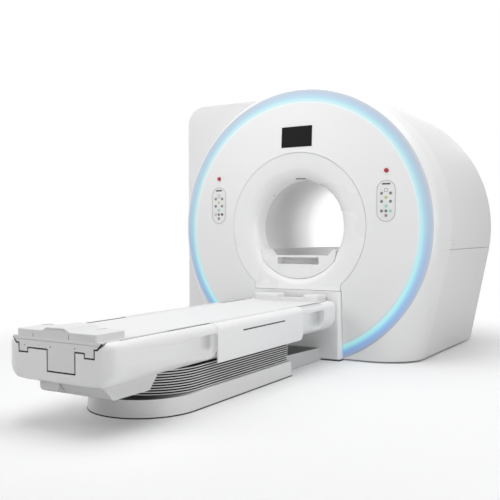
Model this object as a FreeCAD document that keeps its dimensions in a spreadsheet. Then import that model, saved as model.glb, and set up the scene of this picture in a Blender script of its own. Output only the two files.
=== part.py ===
# A whole-body MRI scanner: a round gantry with a light ring, a patient bore and two control panels,
# and in front of it a patient couch that rises on a telescopic column inside pleated bellows.
#
# Frame: millimetres, +Z up, +Y from the foot of the couch towards the back of the gantry.
# The origin is on the floor, straight below the centre of the magnet.

import FreeCAD, Part
import math
import os
import re
import Sketcher
from FreeCAD import Placement, Rotation, Vector

PARTS_FOLDER = "parts"

# ---------------------------------------------------------------------------------------------
# Driving dimensions
# ---------------------------------------------------------------------------------------------

SIZES = [
    # gantry covers
    ("bore_axis_height", 988, "bore axis above the floor"),
    ("ring_reach", 750, "light ring ahead of the centre of the magnet"),
    ("rear_space", 136, "back of the covers behind the cryostat"),
    ("collar_width", 41, "front collar outside the light ring"),
    ("middle_growth", 8, "side covers larger than the collar at their middle station"),
    ("rear_growth", 9, "and at the back"),
    ("front_foot_inset", 200, "half width at the floor inside the outer radius, front collar"),
    ("middle_foot_inset", 199, "the same at the middle station"),
    ("rear_foot_inset", 177, "the same at the back"),
    ("shell_middle_depth", 780, "middle station behind the light ring"),
    ("shell_edge_radius", 100, "rounding of the front edge of the covers round the light ring"),
    ("shell_foot_radius", 300, "that rounding at the floor, where it is widest"),
    ("collar_depth", 322, "depth of the front collar"),
    ("collar_groove_start", 105, "false seam on the collar's sides behind the light ring"),
    ("collar_groove_depth", 3, "depth of that false seam"),
    ("cover_wall", 8, "wall of the moulded covers"),
    ("cover_gap", 3, "gap left round a cover that drops into another"),
    ("inlay_gap", 0.5, "gap round inlaid panels, the light ring and the bridge"),
    ("floor_gap", 12, "shadow gap under the gantry covers"),
    ("cover_seam_height", 816, "height of the seam between the upper and lower covers"),
    ("cover_seam_gap", 3, "width of that seam"),
    # light ring and front cover
    ("ring_outer_radius", 1040, "outer radius of the light ring"),
    ("ring_width", 103, "width of the light ring"),
    ("ring_set_back", 15, "outer edge of the ring behind its inner edge"),
    ("ring_bulge", 4, "crown of the ring's face"),
    ("ring_thickness", 14, "thickness of the light guide"),
    ("keyhole_radius", 560, "round seam between the front cover and the funnel"),
    ("keyhole_advance", 29, "that seam ahead of the light ring"),
    ("dome_bulge", 2, "crown of the front cover"),
    ("neck_half_width", 361, "half width of the funnel's neck"),
    # column below the bore
    ("column_half_width", 365, "half width of the column cover"),
    ("column_top_height", 510, "top of the column cover"),
    ("column_advance", 60, "front of the column cover ahead of the light ring"),
    ("column_depth", 122, "depth of the column cover"),
    ("column_edge_radius", 22, "rounding of its front edges"),
    # patient bore
    ("patient_bore_radius", 355, "radius of the patient bore"),
    ("liner_wall", 6, "wall of the bore liner and of both funnels"),
    ("throat_setback", 120, "front end of the liner behind the light ring"),
    ("rear_funnel_depth", 106, "depth of the rear funnel"),
    ("funnel_drop", 5, "where a funnel starts to round into the bore behind its mouth"),
    ("front_lip_radius", 95, "rounding of the front funnel into the bore"),
    ("rear_lip_radius", 90, "rounding of the rear funnel into the bore"),
    ("rear_mouth_radius", 520, "mouth of the rear funnel"),
    # patient bridge in the bore
    ("bed_top_drop", 172, "top of the bridge below the bore axis"),
    ("bed_channel_half_width", 290, "half width of the channel in the bridge"),
    ("bed_channel_floor_half_width", 246, "half width of that channel's floor"),
    ("bed_channel_depth", 48, "depth of that channel"),
    ("bed_channel_corner", 20, "rounding along that channel's floor"),
    ("bed_wall", 10, "wall of the bridge moulding"),
    ("cap_radius", 395, "lower arc of the bridge's front cap"),
    ("cap_half_width", 307, "half width of the front cap"),
    ("cap_setback", 20, "front cap behind the funnel's mouth"),
    ("cap_gap", 3.5, "gap round the front cap"),
    ("slot_half_width", 175, "half width of the slot in the front cap"),
    ("slot_top_drop", 232, "top of that slot below the bore axis"),
    ("slot_height", 52, "height of that slot"),
    ("slot_depth", 110, "depth of that slot"),
    # service block on the left
    ("service_width", 210, "service block outside the side covers"),
    ("service_setback", 375, "front of the service block behind the light ring"),
    ("service_top_drop", 5, "top of the service block below the crown of the covers"),
    ("service_corner_radius", 170, "its upper outer corner"),
    ("service_edge_radius", 18, "rounding of its front edge"),
    # magnet
    ("coil_gap", 4, "body coil outside the liner"),
    ("coil_thickness", 13, "thickness of the body coil"),
    ("coil_inset", 60, "ends of the body coil inside the cryostat's"),
    ("gradient_gap", 7, "gradient coil outside the body coil"),
    ("gradient_thickness", 70, "thickness of the gradient coil"),
    ("gradient_inset", 15, "ends of the gradient coil inside the cryostat's"),
    ("vessel_bore_gap", 7, "bore of the cryostat outside the gradient coil"),
    ("vessel_margin", 141, "cryostat inside the front collar's outer radius"),
    ("vessel_front_gap", 110, "cryostat behind the light ring"),
    ("vessel_edge_radius", 60, "rounding of its outer edges"),
    ("turret_radius", 110, "radius of the service turret on the cryostat"),
    ("turret_height", 112, "height of the turret above the cryostat"),
    ("foot_width", 180, "width of a magnet foot"),
    ("foot_plate", 25, "thickness of its floor plate"),
    ("anchor_edge", 50, "end of the floor plate outside its anchors"),
    ("anchor_room", 70, "end of the saddle inside the anchors"),
    ("foot_spacing", 900, "front foot to rear foot"),
    ("anchor_spacing", 1180, "floor anchors across a magnet foot"),
    ("anchor_hole_radius", 11, "radius of the magnet's anchor holes"),
    # display and control panels
    ("inlay_proud", 2, "inlaid panels stand this far out of the front cover"),
    ("inlay_depth", 4, "and reach this far into it"),
    ("display_width", 256, "width of the display"),
    ("display_height", 157, "height of the display"),
    ("display_rise", 681.5, "centre of the display above the bore axis"),
    ("control_width", 142, "width of a control panel"),
    ("control_height", 300, "height of a control panel"),
    ("control_offset", 708, "centre of a control panel from the bore axis"),
    ("control_rise", 177, "centre of a control panel above the bore axis"),
    ("button_radius", 10.5, "radius of a control button"),
    ("button_proud", 5, "button above the front cover's own surface"),
    ("button_length", 13, "length of a control button"),
    ("button_gap", 0.4, "gap round a button"),
    ("button_chamfer", 1.2, "chamfer round a button's face"),
    ("button_pitch", 32, "button columns from the middle of the panel"),
    ("top_row_rise", 54, "top row of buttons above the panel's middle"),
    ("second_row_rise", 25, "second row"),
    ("third_row_rise", -4, "third row"),
    ("fourth_row_rise", -36, "fourth row"),
    ("fifth_row_rise", -72, "fifth row"),
    ("bottom_row_rise", -104, "bottom row"),
    ("stop_rise", 393, "stop button above the bore axis"),
    ("stop_radius", 16, "radius of a stop button"),
    ("stop_proud", 9, "stop button above the front cover's own surface"),
    ("stop_length", 22, "length of a stop button"),
    ("stop_rounding", 3.5, "rounding of a stop button's face"),
    # couch base
    ("base_half_width", 318, "half width of the couch base"),
    ("base_height", 100, "height of the couch base"),
    ("base_draft", 5, "the couch base is this much narrower at its top"),
    ("base_edge", 4, "rounding of its top edge"),
    ("base_foot_setback", 349, "foot end of the couch base from the foot end of the couch"),
    ("base_head_gap", 653, "head end of the couch base from the column cover"),
    ("base_corner_radius", 6, "head end corners of the couch base"),
    ("base_floor_gap", 3, "couch base covers above the floor"),
    ("base_plate_thickness", 12, "steel plate in the couch base"),
    ("couch_anchor_across", 460, "floor anchors across the couch base"),
    ("couch_anchor_along", 700, "floor anchors along the couch base"),
    ("couch_anchor_radius", 9, "radius of the couch's anchor holes"),
    ("wedge_foot_half_width", 218, "half width of the wedge cover at the floor"),
    ("wedge_top_half_width", 199, "half width of the wedge cover at its top"),
    ("wedge_near_height", 108, "height of the wedge cover at the couch base"),
    ("wedge_far_height", 88, "height of the wedge cover at the column"),
    ("wedge_gap", 2, "wedge cover from its neighbours"),
    ("wedge_edge_radius", 8, "rounding of the wedge cover's top edges"),
    ("wedge_inner_radius", 1, "rounding inside those edges"),
    # lift
    ("lift_column_setback", 725, "middle of the lift column from the foot of the couch base"),
    ("lift_outer_half_width", 130, "half width of the fixed column stage"),
    ("lift_outer_half_length", 330, "half length of the fixed column stage"),
    ("lift_headroom", 17, "top of the fixed column stage below the lift plate"),
    ("lift_wall", 10, "wall of the column stages"),
    ("lift_gap", 2, "gap between column stages"),
    ("lift_step", 4, "each stage starts this much above the one round it"),
    ("lift_top_step", 8, "and the middle stage ends this much above the fixed one"),
    ("motor_radius", 45, "radius of the lift motor"),
    ("motor_headroom", 30, "top of the lift motor below the lift plate"),
    ("bellows_pleats", 10, "number of pleats"),
    ("bellows_half_width", 300, "half width over the pleats"),
    ("bellows_foot_gap", 80, "pleats from the foot of the couch base"),
    ("bellows_head_gap", 6, "pleats from the head end of the couch base"),
    ("bellows_corner_radius", 24, "head end corners of the bellows"),
    ("bellows_fold", 17, "depth of a pleat"),
    ("bellows_wall", 6, "material behind the folds"),
    ("bellows_clearance", 0.5, "bellows from the couch body"),
    # couch body
    ("couch_gap", 15, "head end of the couch from the column cover"),
    ("couch_length", 2405, "length of the couch"),
    ("couch_half_width", 352, "half width of the couch body"),
    ("rim_height", 445, "top of the couch rim"),
    ("couch_height", 209, "height of the couch body"),
    ("rim_inner_half_width", 291, "inner edge of the rim"),
    ("rim_radius", 40, "rounding of the rim"),
    ("belly_radius", 100, "rounding of the couch body's lower edges"),
    ("foot_edge_radius", 12, "rounding of the lower edge in the middle of the foot end"),
    ("foot_edge_half", 150, "half width over which that edge is nearly sharp"),
    ("foot_edge_end_radius", 30, "that rounding where the foot end's corners begin"),
    ("couch_foot_corner", 88, "rounding of the foot end corners"),
    ("couch_head_radius", 36, "rounding all round the head end"),
    ("couch_wall", 8, "wall of the couch body"),
    ("column_opening_gap", 5, "opening round the lift column"),
    ("foot_grip_start", 470, "foot grip from the foot end"),
    ("foot_grip_length", 368, "length of the foot grip"),
    ("foot_grip_depth", 46, "depth of the foot grip"),
    ("grip_corner_radius", 30, "rounding at the deep end of a grip"),
    ("grip_ceiling_radius", 18, "rounding along the top of a grip"),
    ("foot_grip_drop", 49, "top of the foot grip below the rim"),
    ("head_grip_start", 215, "head grip from the head end"),
    ("head_grip_length", 310, "length of the head grip"),
    ("head_grip_depth", 34, "depth of the head grip"),
    ("head_grip_drop", 47, "top of the head grip below the rim"),
    ("grip_wall", 6, "wall behind a grip"),
    ("side_panel_start", 838, "side panel from the foot end"),
    ("side_panel_length", 1022, "length of the side panel"),
    ("side_panel_proud", 4, "side panel outside the couch body"),
    ("side_panel_inset", 4, "and its seat in the couch body"),
    ("side_panel_overhang", 5, "side panel below the couch body"),
    ("side_panel_edge", 3, "rounding of that edge"),
    ("side_panel_ramp", 30, "head end of the side panel, brought down flush with the couch body"),
    ("side_panel_rise", 22, "and its lower edge raised there"),
    ("side_panel_top_inset", 16, "upper edge of the side panel outside the rim's inner edge"),
    ("rail_slot_start", 262, "slot from the foot end of the side panel"),
    ("rail_slot_length", 504, "length of the slot in the side panel"),
    ("rail_slot_height", 7, "height of that slot"),
    ("rail_slot_depth", 6, "depth of that slot"),
    ("rail_slot_drop", 66, "lower edge of that slot below the rim"),
    ("pan_right", 288, "right side of the pan under the foot end, from the middle"),
    ("pan_left", 137, "left side of the pan from the middle"),
    ("pan_height", 64, "height of the pan"),
    ("pan_corner_radius", 40, "foot end corner of the pan on the right"),
    ("pan_seam_width", 4, "seam between the pan's two halves"),
    ("pan_seam_depth", 3, "depth of that seam"),
    ("pan_top_start", 25, "upper foot edge of the pan from the foot end"),
    ("pan_bottom_start", 72, "lower foot edge of the pan from the foot end"),
    ("pan_bottom_end", 335, "lower head edge of the pan from the foot end"),
    ("pan_top_end", 396, "upper head edge of the pan from the foot end"),
    ("pan_edge_radius", 28, "rounding of the pan's lower edges"),
    ("pan_wall", 6, "wall of the pan"),
    ("pan_collar", 60, "pan carried up to the rounded belly of the couch"),
    # couch frame
    ("beam_inner_half_width", 184, "inner face of a frame beam"),
    ("beam_width", 60, "width of a frame beam"),
    ("beam_wall", 5, "wall of a frame beam"),
    ("beam_start", 60, "frame beams from the foot end"),
    ("beam_end", 40, "frame beams from the head end"),
    ("cross_plate", 14, "thickness of the frame's cross plates"),
    ("cross_plate_width", 120, "width of the outer cross plates"),
    ("cross_plate_inset", 260, "outer cross plates from the foot end"),
    ("head_plate_inset", 130, "head cross plate from the head end"),
    # tabletop
    ("table_gap", 8, "gap round the tabletop in the couch body"),
    ("table_side_drop", 31, "underside of the tabletop's wings below the rim"),
    ("table_chamfer_start", 7, "chamfer of the wings below the rim"),
    ("table_wing_half_width", 256, "half width where the chamfer ends"),
    ("table_runner_outer", 240, "outer face of a runner"),
    ("table_runner_inner", 188, "inner face of a runner"),
    ("table_runner_drop", 73, "underside of a runner below the rim"),
    ("table_core_drop", 51, "underside of the tabletop's middle below the rim"),
    ("table_head_gap", 30, "head end of the tabletop from the head end of the couch"),
    ("dish_half_width", 262, "half width of the dished top"),
    ("dish_depth", 9, "depth of the dished top"),
    ("keel_left", 49, "left face of the keel from the middle"),
    ("keel_right", 121, "right face of the keel from the middle"),
    ("keel_drop", 153, "underside of the keel below the rim"),
    ("keel_length", 130, "length of the keel"),
    ("seam_drop", 17, "seam across the foot face of the tabletop below the rim"),
    ("seam_height", 2.5, "height of that seam"),
    ("seam_depth", 4, "depth of that seam"),
    ("block_edge_radius", 5, "rounding of the foot end block"),
    ("cap_block_half_width", 259, "half width of the foot end block"),
    ("cap_block_length", 200, "length of the foot end block"),
    ("cap_block_height", 35, "foot end block above the rim"),
    ("cap_hump_height", 52, "hump of the foot end block above the rim"),
    ("cap_hump_half_width", 57, "half width of the hump's top"),
    ("cap_hump_foot_half_width", 93, "half width of the hump's foot"),
    ("recess_radius", 41, "radius of the round recesses in the foot end block"),
    ("recess_depth", 3, "depth of those recesses"),
    ("recess_left", 203, "left recess from the middle of the couch"),
    ("recess_right", 158, "right recess from the middle of the couch"),
    ("recess_setback", 160, "recesses from the foot end"),
    ("dock_depth", 118, "depth of the coil dock at the head end"),
    ("dock_left_outer", 262, "outer face of the left dock block"),
    ("dock_right_outer", 276, "outer face of the right dock block"),
    ("dock_bar_height", 17, "dock bar above the rim"),
    ("dock_block_height", 46, "dock blocks above the rim"),
    ("dock_left_inner", 60, "inner face of the left dock block"),
    ("dock_right_inner", 145, "inner face of the right dock block"),
    ("dock_edge_radius", 16, "rounding of the dock blocks"),
    ("glide_gap", 2, "runners above the frame beams and above the bridge"),
]

doc = FreeCAD.newDocument("mri_scanner")
sheet = doc.addObject("Spreadsheet::Sheet", "Sizes")
for row, (alias, amount, meaning) in enumerate(SIZES, start=1):
    sheet.set("A%d" % row, alias)
    sheet.set("B%d" % row, str(amount))
    sheet.set("C%d" % row, meaning)
    sheet.setAlias("B%d" % row, alias)
doc.recompute()

ALIASES = [alias for alias, amount, meaning in SIZES]
ALIAS_WORD = re.compile(r"\b(%s)\b" % "|".join(sorted(ALIASES, key=len, reverse=True)))


def formula(text):
    """Turn a formula over bare size names into one that reads the sheet."""
    return ALIAS_WORD.sub(r"Sizes.\1", text)


def size(text):
    """Value of a size, or of a formula over sizes, in millimetres."""
    return float(sheet.evalExpression(formula(text)))


def bind(thing, field, text):
    thing.setExpression(field, formula(text))


NODES = []


def keep(thing, label):
    """Give a finished sub-part its label and list it for export."""
    thing.Label = label
    NODES.append(thing)
    return thing


# ---------------------------------------------------------------------------------------------
# Places that several sub-parts share, as formulas over the sheet
# ---------------------------------------------------------------------------------------------

COLUMN_FRONT = "(-ring_reach - column_advance)"
COUCH_HEAD = "(%s - couch_gap)" % COLUMN_FRONT
COUCH_FOOT = "(%s - couch_length)" % COUCH_HEAD
BASE_HEAD = "(%s - base_head_gap)" % COLUMN_FRONT
BASE_FOOT = "(%s + base_foot_setback)" % COUCH_FOOT
LIFT_MIDDLE = "(%s + lift_column_setback)" % BASE_FOOT
TABLE_HEAD = "(%s - table_head_gap)" % COUCH_HEAD
COUCH_LOW = "(rim_height - couch_height)"
BEAM_TOP = "(rim_height - table_runner_drop - glide_gap)"
CROSS_TOP = "(rim_height - keel_drop - table_gap)"
BED_TOP = "(bore_axis_height - bed_top_drop)"
SHELL_FRONT = "(ring_outer_radius + collar_width)"
SHELL_MIDDLE = "(%s + middle_growth)" % SHELL_FRONT
SHELL_REAR = "(%s + rear_growth)" % SHELL_FRONT
RING_INNER = "(ring_outer_radius - ring_width)"
VESSEL_REACH = "(ring_reach - vessel_front_gap)"
GANTRY_BACK = "(%s + rear_space)" % VESSEL_REACH
COIL_INNER = "(patient_bore_radius + liner_wall + coil_gap)"
COIL_OUTER = "(%s + coil_thickness)" % COIL_INNER
GRADIENT_INNER = "(%s + gradient_gap)" % COIL_OUTER
GRADIENT_OUTER = "(%s + gradient_thickness)" % GRADIENT_INNER
VESSEL_INNER = "(%s + vessel_bore_gap)" % GRADIENT_OUTER
VESSEL_OUTER = "(%s - vessel_margin)" % SHELL_FRONT

AXIS_HEIGHT = size("bore_axis_height")
RING_Y = -size("ring_reach")
WALL = size("cover_wall")

# Reaches of cutting tools, and how near two lengths count as the same
FAR = 4000.0
PAST = 10.0
DEEP = 200.0
NEAR = 0.01


# ---------------------------------------------------------------------------------------------
# Building helpers
# ---------------------------------------------------------------------------------------------

def origin_plane(body, role):
    for feature in body.Origin.OriginFeatures:
        if feature.Role == role:
            return feature


def corner_sketch(body, name, plane, offset, corners):
    """Closed polygon on one of the body's own planes, each corner held by two formulas."""
    sketch = body.newObject("Sketcher::SketchObject", name)
    sketch.AttachmentSupport = [(origin_plane(body, plane), "")]
    sketch.MapMode = "FlatFace"
    bind(sketch, "AttachmentOffset.Base.z", offset)
    values = [Vector(size(across), size(up), 0) for across, up in corners]
    count = len(values)
    for index in range(count):
        following = values[(index + 1) % count]
        sketch.addGeometry(Part.LineSegment(values[index], following), False)
    for index in range(count):
        sketch.addConstraint(Sketcher.Constraint("Coincident", index, 2, (index + 1) % count, 1))
    for index, corner in enumerate(corners):
        for kind, text, value in zip(("DistanceX", "DistanceY"), corner, values[index]):
            number = sketch.addConstraint(Sketcher.Constraint(kind, -1, 1, index, 1, value))
            if ALIAS_WORD.search(text):
                bind(sketch, "Constraints[%d]" % number, text)
    return sketch


def circle_sketch(body, name, plane, offset, radius, centres):
    """Circles of one radius on one of the body's own planes."""
    sketch = body.newObject("Sketcher::SketchObject", name)
    sketch.AttachmentSupport = [(origin_plane(body, plane), "")]
    sketch.MapMode = "FlatFace"
    bind(sketch, "AttachmentOffset.Base.z", offset)
    for index, (across, up) in enumerate(centres):
        centre = Vector(size(across), size(up), 0)
        sketch.addGeometry(Part.Circle(centre, Vector(0, 0, 1), size(radius)), False)
        for kind, text, value in (("DistanceX", across, centre.x), ("DistanceY", up, centre.y)):
            number = sketch.addConstraint(Sketcher.Constraint(kind, -1, 1, index, 3, value))
            bind(sketch, "Constraints[%d]" % number, text)
        number = sketch.addConstraint(Sketcher.Constraint("Radius", index, size(radius)))
        bind(sketch, "Constraints[%d]" % number, radius)
    return sketch


def pad(body, name, sketch, length, backwards=False):
    feature = body.newObject("PartDesign::Pad", name)
    feature.Profile = sketch
    bind(feature, "Length", length)
    feature.Reversed = backwards
    doc.recompute()
    return feature


def pocket(body, name, sketch, length):
    """Pocket of one length that runs the way the solid lies."""
    before = body.Shape.Volume
    feature = body.newObject("PartDesign::Pocket", name)
    feature.Profile = sketch
    bind(feature, "Length", length)
    for backwards in (False, True):
        feature.Reversed = backwards
        doc.recompute()
        if feature.Shape.Volume < before - 1:
            return feature
    raise RuntimeError(name + " cuts nothing")


def chosen_edges(shape, wanted):
    """Names of the edges whose middle point and direction the test accepts."""
    names = []
    for number, edge in enumerate(shape.Edges, start=1):
        middle = edge.valueAt((edge.FirstParameter + edge.LastParameter) / 2)
        along = edge.tangentAt((edge.FirstParameter + edge.LastParameter) / 2)
        if wanted(middle, along):
            names.append("Edge%d" % number)
    return names


def round_edges(body, name, base, radius, wanted):
    feature = body.newObject("PartDesign::Fillet", name)
    feature.Base = (base, chosen_edges(base.Shape, wanted))
    bind(feature, "Radius", radius)
    doc.recompute()
    return feature


def block(name, low, extent):
    """Part::Box with its low corner and its three lengths bound to the sheet."""
    box = doc.addObject("Part::Box", name)
    for field, text in zip(("Length", "Width", "Height"), extent):
        bind(box, field, text)
    for field, text in zip("xyz", low):
        bind(box, "Placement.Base." + field, text)
    return box


def rod(name, radius, length, low, upright=False):
    """Part::Cylinder that runs along +Y, or along +Z when it stands upright."""
    cylinder = doc.addObject("Part::Cylinder", name)
    if not upright:
        cylinder.Placement = Placement(Vector(), Rotation(Vector(1, 0, 0), -90))
    bind(cylinder, "Radius", radius)
    bind(cylinder, "Height", length)
    for field, text in zip("xyz", low):
        bind(cylinder, "Placement.Base." + field, text)
    return cylinder


def cut(name, base, tool):
    result = doc.addObject("Part::Cut", name)
    result.Base = base
    result.Tool = tool
    return result


def fuse(name, pieces):
    result = doc.addObject("Part::MultiFuse", name)
    result.Shapes = pieces
    return result


def shaped(label, shape):
    """Part::Feature for a form that the other objects can't make."""
    feature = doc.addObject("Part::Feature", label)
    feature.Shape = shape
    return keep(feature, label)


def rounded_wire(corners, place):
    """Closed wire through (u, v, radius) corners; place(u, v) puts a point in space."""
    edges = []
    previous_end = None
    first_start = None
    count = len(corners)
    for index in range(count):
        u, v, radius = corners[index]
        here = Vector(u, v, 0)
        before = Vector(corners[index - 1][0], corners[index - 1][1], 0)
        after = Vector(corners[(index + 1) % count][0], corners[(index + 1) % count][1], 0)
        incoming = (before - here).normalize()
        outgoing = (after - here).normalize()
        start, end = here, here
        if radius > 0:
            half = incoming.getAngle(outgoing) / 2
            reach = radius / math.tan(half)
            bisector = (incoming + outgoing).normalize()
            centre = here + bisector * (radius / math.sin(half))
            start = here + incoming * reach
            end = here + outgoing * reach
            middle = centre - bisector * radius
        if previous_end is not None and (start - previous_end).Length > 1e-6:
            edges.append(Part.LineSegment(place(*previous_end[:2]), place(*start[:2])).toShape())
        if radius > 0:
            arc = Part.Arc(place(*start[:2]), place(*middle[:2]), place(*end[:2]))
            edges.append(arc.toShape())
        if first_start is None:
            first_start = start
        previous_end = end
    if (first_start - previous_end).Length > 1e-6:
        edges.append(Part.LineSegment(place(*previous_end[:2]), place(*first_start[:2])).toShape())
    return Part.Wire(edges)


def prism(wire, direction):
    return Part.Face(wire).extrude(direction)


def across_y(y):
    """Place (x, z) points in the plane that stands across the scanner at y."""
    return lambda u, v: Vector(u, y, v)


def flat_at(z):
    return lambda u, v: Vector(u, v, z)


def upright_at(x):
    """Place (y, z) points in the plane that stands along the scanner at x."""
    return lambda u, v: Vector(x, u, v)


def space(low, high):
    """Plain box between two corners, for cutting."""
    extent = Vector(*high) - Vector(*low)
    return Part.makeBox(extent.x, extent.y, extent.z, Vector(*low))


def bore_cylinder(radius, start, end):
    return Part.makeCylinder(radius, end - start, Vector(0, start, AXIS_HEIGHT), Vector(0, 1, 0))


def turned(edges):
    """Solid of revolution about the bore axis, from a closed profile of (radius, y) edges."""
    face = Part.Face(Part.Wire(Part.__sortEdges__(edges)))
    return face.revolve(Vector(0, 0, AXIS_HEIGHT), Vector(0, 1, 0), 360)


def profile_point(radius, y):
    return Vector(radius, y, AXIS_HEIGHT)


def one_solid(shape):
    return shape.Solids[0] if len(shape.Solids) == 1 else shape


def largest(shape):
    return max(shape.Solids, key=lambda solid: solid.Volume)


def above_floor():
    return space((-FAR, -FAR, size("floor_gap")), (FAR, FAR, FAR))


def lying_at(edge, height):
    """Whether an edge lies flat at a height."""
    return abs(edge.BoundBox.ZMin - height) < NEAR and abs(edge.BoundBox.ZMax - height) < NEAR


# ---------------------------------------------------------------------------------------------
# Gantry covers
# ---------------------------------------------------------------------------------------------

def shell_outline(radius, foot, y):
    """Circle about the bore axis, carried down to the floor by two straight tangent walls."""
    reach = math.hypot(foot, AXIS_HEIGHT)
    turn = math.atan2(-AXIS_HEIGHT, foot) + math.acos(radius / reach)
    side_x = radius * math.cos(turn)
    side_z = AXIS_HEIGHT + radius * math.sin(turn)
    foot_left, foot_right = Vector(-foot, y, 0), Vector(foot, y, 0)
    side_left, side_right = Vector(-side_x, y, side_z), Vector(side_x, y, side_z)
    crown = Vector(0, y, AXIS_HEIGHT + radius)
    return Part.Wire([
        Part.LineSegment(foot_left, foot_right).toShape(),
        Part.LineSegment(foot_right, side_right).toShape(),
        Part.Arc(side_right, crown, side_left).toShape(),
        Part.LineSegment(side_left, foot_left).toShape(),
    ])


def rolled(name, block_form, edges):
    """A block with roundings that widen or narrow along its edges: (edge number, start, end)."""
    rounded = doc.addObject("Part::Fillet", name)
    rounded.Base = block_form
    rounded.Edges = edges
    doc.recompute()
    return rounded.Shape.Solids[0]


def collar_form(name, inset, end_y):
    """Front part of the gantry's outer form, drawn in by a wall, with its rounded front edge.

    The rounding is even round the light ring and widens down the straight walls to the floor.
    """
    start_y = RING_Y + inset
    foot = size(SHELL_FRONT) - size("front_foot_inset")
    outline = shell_outline(size(SHELL_FRONT) - inset, foot - inset, start_y)
    block_form = doc.addObject("Part::Feature", name + "_block")
    block_form.Shape = prism(outline, Vector(0, end_y - start_y, 0))
    narrow = size("shell_edge_radius") - inset
    wide = size("shell_foot_radius") - inset
    front_edges = []
    for number, edge in enumerate(block_form.Shape.Edges, start=1):
        on_front = all(abs(vertex.Y - start_y) < NEAR for vertex in edge.Vertexes)
        if on_front and edge.BoundBox.ZMax > NEAR:
            start, end = [wide if vertex.Z < NEAR else narrow for vertex in edge.Vertexes]
            front_edges.append((number, start, end))
    return rolled(name, block_form, front_edges)


def side_form(inset):
    """Rear part of the gantry's outer form: three outlines joined by straight walls."""
    stations = [
        (SHELL_FRONT, "front_foot_inset", RING_Y + size("collar_depth")),
        (SHELL_MIDDLE, "middle_foot_inset", RING_Y + size("shell_middle_depth")),
        (SHELL_REAR, "rear_foot_inset", size(GANTRY_BACK)),
    ]
    outlines = [shell_outline(size(radius) - inset, size(radius) - size(foot_inset) - inset, y)
                for radius, foot_inset, y in stations]
    return Part.makeLoft(outlines, True, True)


def column_room(margin):
    """Space that the column cover and the neck above it take out of the covers behind them."""
    half = size("column_half_width") + margin
    neck = size("neck_half_width") + margin
    top = size("column_top_height") + margin
    low = space((-half, RING_Y - DEEP, -PAST), (half, RING_Y + DEEP, top))
    high = space((-neck, RING_Y - DEEP, 0), (neck, RING_Y + DEEP, AXIS_HEIGHT))
    return low.fuse(high)


def above_seam():
    return space((-FAR, -FAR, size("cover_seam_height + cover_seam_gap / 2")), (FAR, FAR, FAR))


def below_seam(left, right):
    top = size("cover_seam_height - cover_seam_gap / 2")
    return space((left, -FAR, size("floor_gap")), (right, FAR, top))


def collar_seam():
    """False seam round the collar's sides, in line with the seam of the covers behind it."""
    depth = size("collar_groove_depth")
    radius = size(SHELL_FRONT) - depth
    kept = prism(shell_outline(radius, radius - size("front_foot_inset"), RING_Y), Vector(0, FAR, 0))
    band = space((-FAR, RING_Y + size("collar_groove_start"),
                  size("cover_seam_height - cover_seam_gap / 2")),
                 (FAR, FAR, size("cover_seam_height + cover_seam_gap / 2")))
    return band.cut(kept)


def make_gantry_covers():
    collar_end = RING_Y + size("collar_depth")
    collar = collar_form("collar_outside", 0, collar_end)
    collar = collar.cut(collar_form("collar_inside", WALL, collar_end + PAST))
    collar = collar.cut(bore_cylinder(size("ring_outer_radius"), RING_Y - PAST, collar_end))
    collar = collar.common(above_floor()).cut(column_room(size("cover_gap")))
    shaped("front_collar", one_solid(collar.cut(collar_seam())))

    sides = side_form(0).cut(side_form(WALL))
    shaped("upper_wrap_cover", one_solid(sides.common(above_seam())))
    shaped("right_side_cover", one_solid(sides.common(below_seam(0, FAR))))
    shaped("left_side_cover", one_solid(sides.common(below_seam(-FAR, 0))))


def service_form(inset):
    left = -size(SHELL_REAR) - size("service_width") + inset
    top = AXIS_HEIGHT + size(SHELL_REAR) - size("service_top_drop") - inset
    front = RING_Y + size("service_setback") + inset
    back = size(GANTRY_BACK) - inset
    corners = [
        (left, 0, 0),
        (0, 0, 0),
        (0, top, 0),
        (left, top, size("service_corner_radius") - inset),
    ]
    form = prism(rounded_wire(corners, across_y(front)), Vector(0, back - front, 0))
    edge_radius = size("service_edge_radius")
    if inset < edge_radius:
        front_edges = [edge for edge in form.Edges
                       if all(abs(vertex.Y - front) < NEAR for vertex in edge.Vertexes)
                       and edge.BoundBox.ZMax > NEAR and edge.BoundBox.XMin < -NEAR]
        form = form.makeFillet(edge_radius - inset, front_edges)
    return form


def make_service_block():
    """Electronics block against the left side of the gantry, in an upper and a lower cover."""
    block_shell = service_form(0).cut(service_form(WALL)).cut(side_form(0))
    shaped("service_upper_cover", largest(block_shell.common(above_seam())))
    shaped("service_lower_cover", largest(block_shell.common(below_seam(-FAR, 0))))


# ---------------------------------------------------------------------------------------------
# Front cover, light ring and what is set into them
# ---------------------------------------------------------------------------------------------

def dome_arc(shift):
    """Front face of the front cover in profile, moved back by shift."""
    outer = size(RING_INNER)
    inner = size("keyhole_radius")
    advance = size("keyhole_advance")
    start = profile_point(outer, RING_Y + shift)
    end = profile_point(inner, RING_Y - advance + shift)
    middle = profile_point((outer + inner) / 2, RING_Y - advance / 2 - size("dome_bulge") + shift)
    return Part.Arc(start, middle, end)


def dome_y(radius):
    """Depth of the front cover's face at a distance from the bore axis."""
    circle = dome_arc(0).toShape().Curve
    inward = circle.Center.y - RING_Y
    reach = math.sqrt(circle.Radius ** 2 - (radius - circle.Center.x) ** 2)
    return circle.Center.y - math.copysign(reach, inward)


def dome_layer(front, back):
    """Layer of the front cover's dome between two depths behind its face."""
    near, far = dome_arc(front), dome_arc(back)
    edges = [
        near.toShape(),
        Part.LineSegment(near.EndPoint, far.EndPoint).toShape(),
        far.toShape(),
        Part.LineSegment(far.StartPoint, near.StartPoint).toShape(),
    ]
    return turned(edges)


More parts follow.
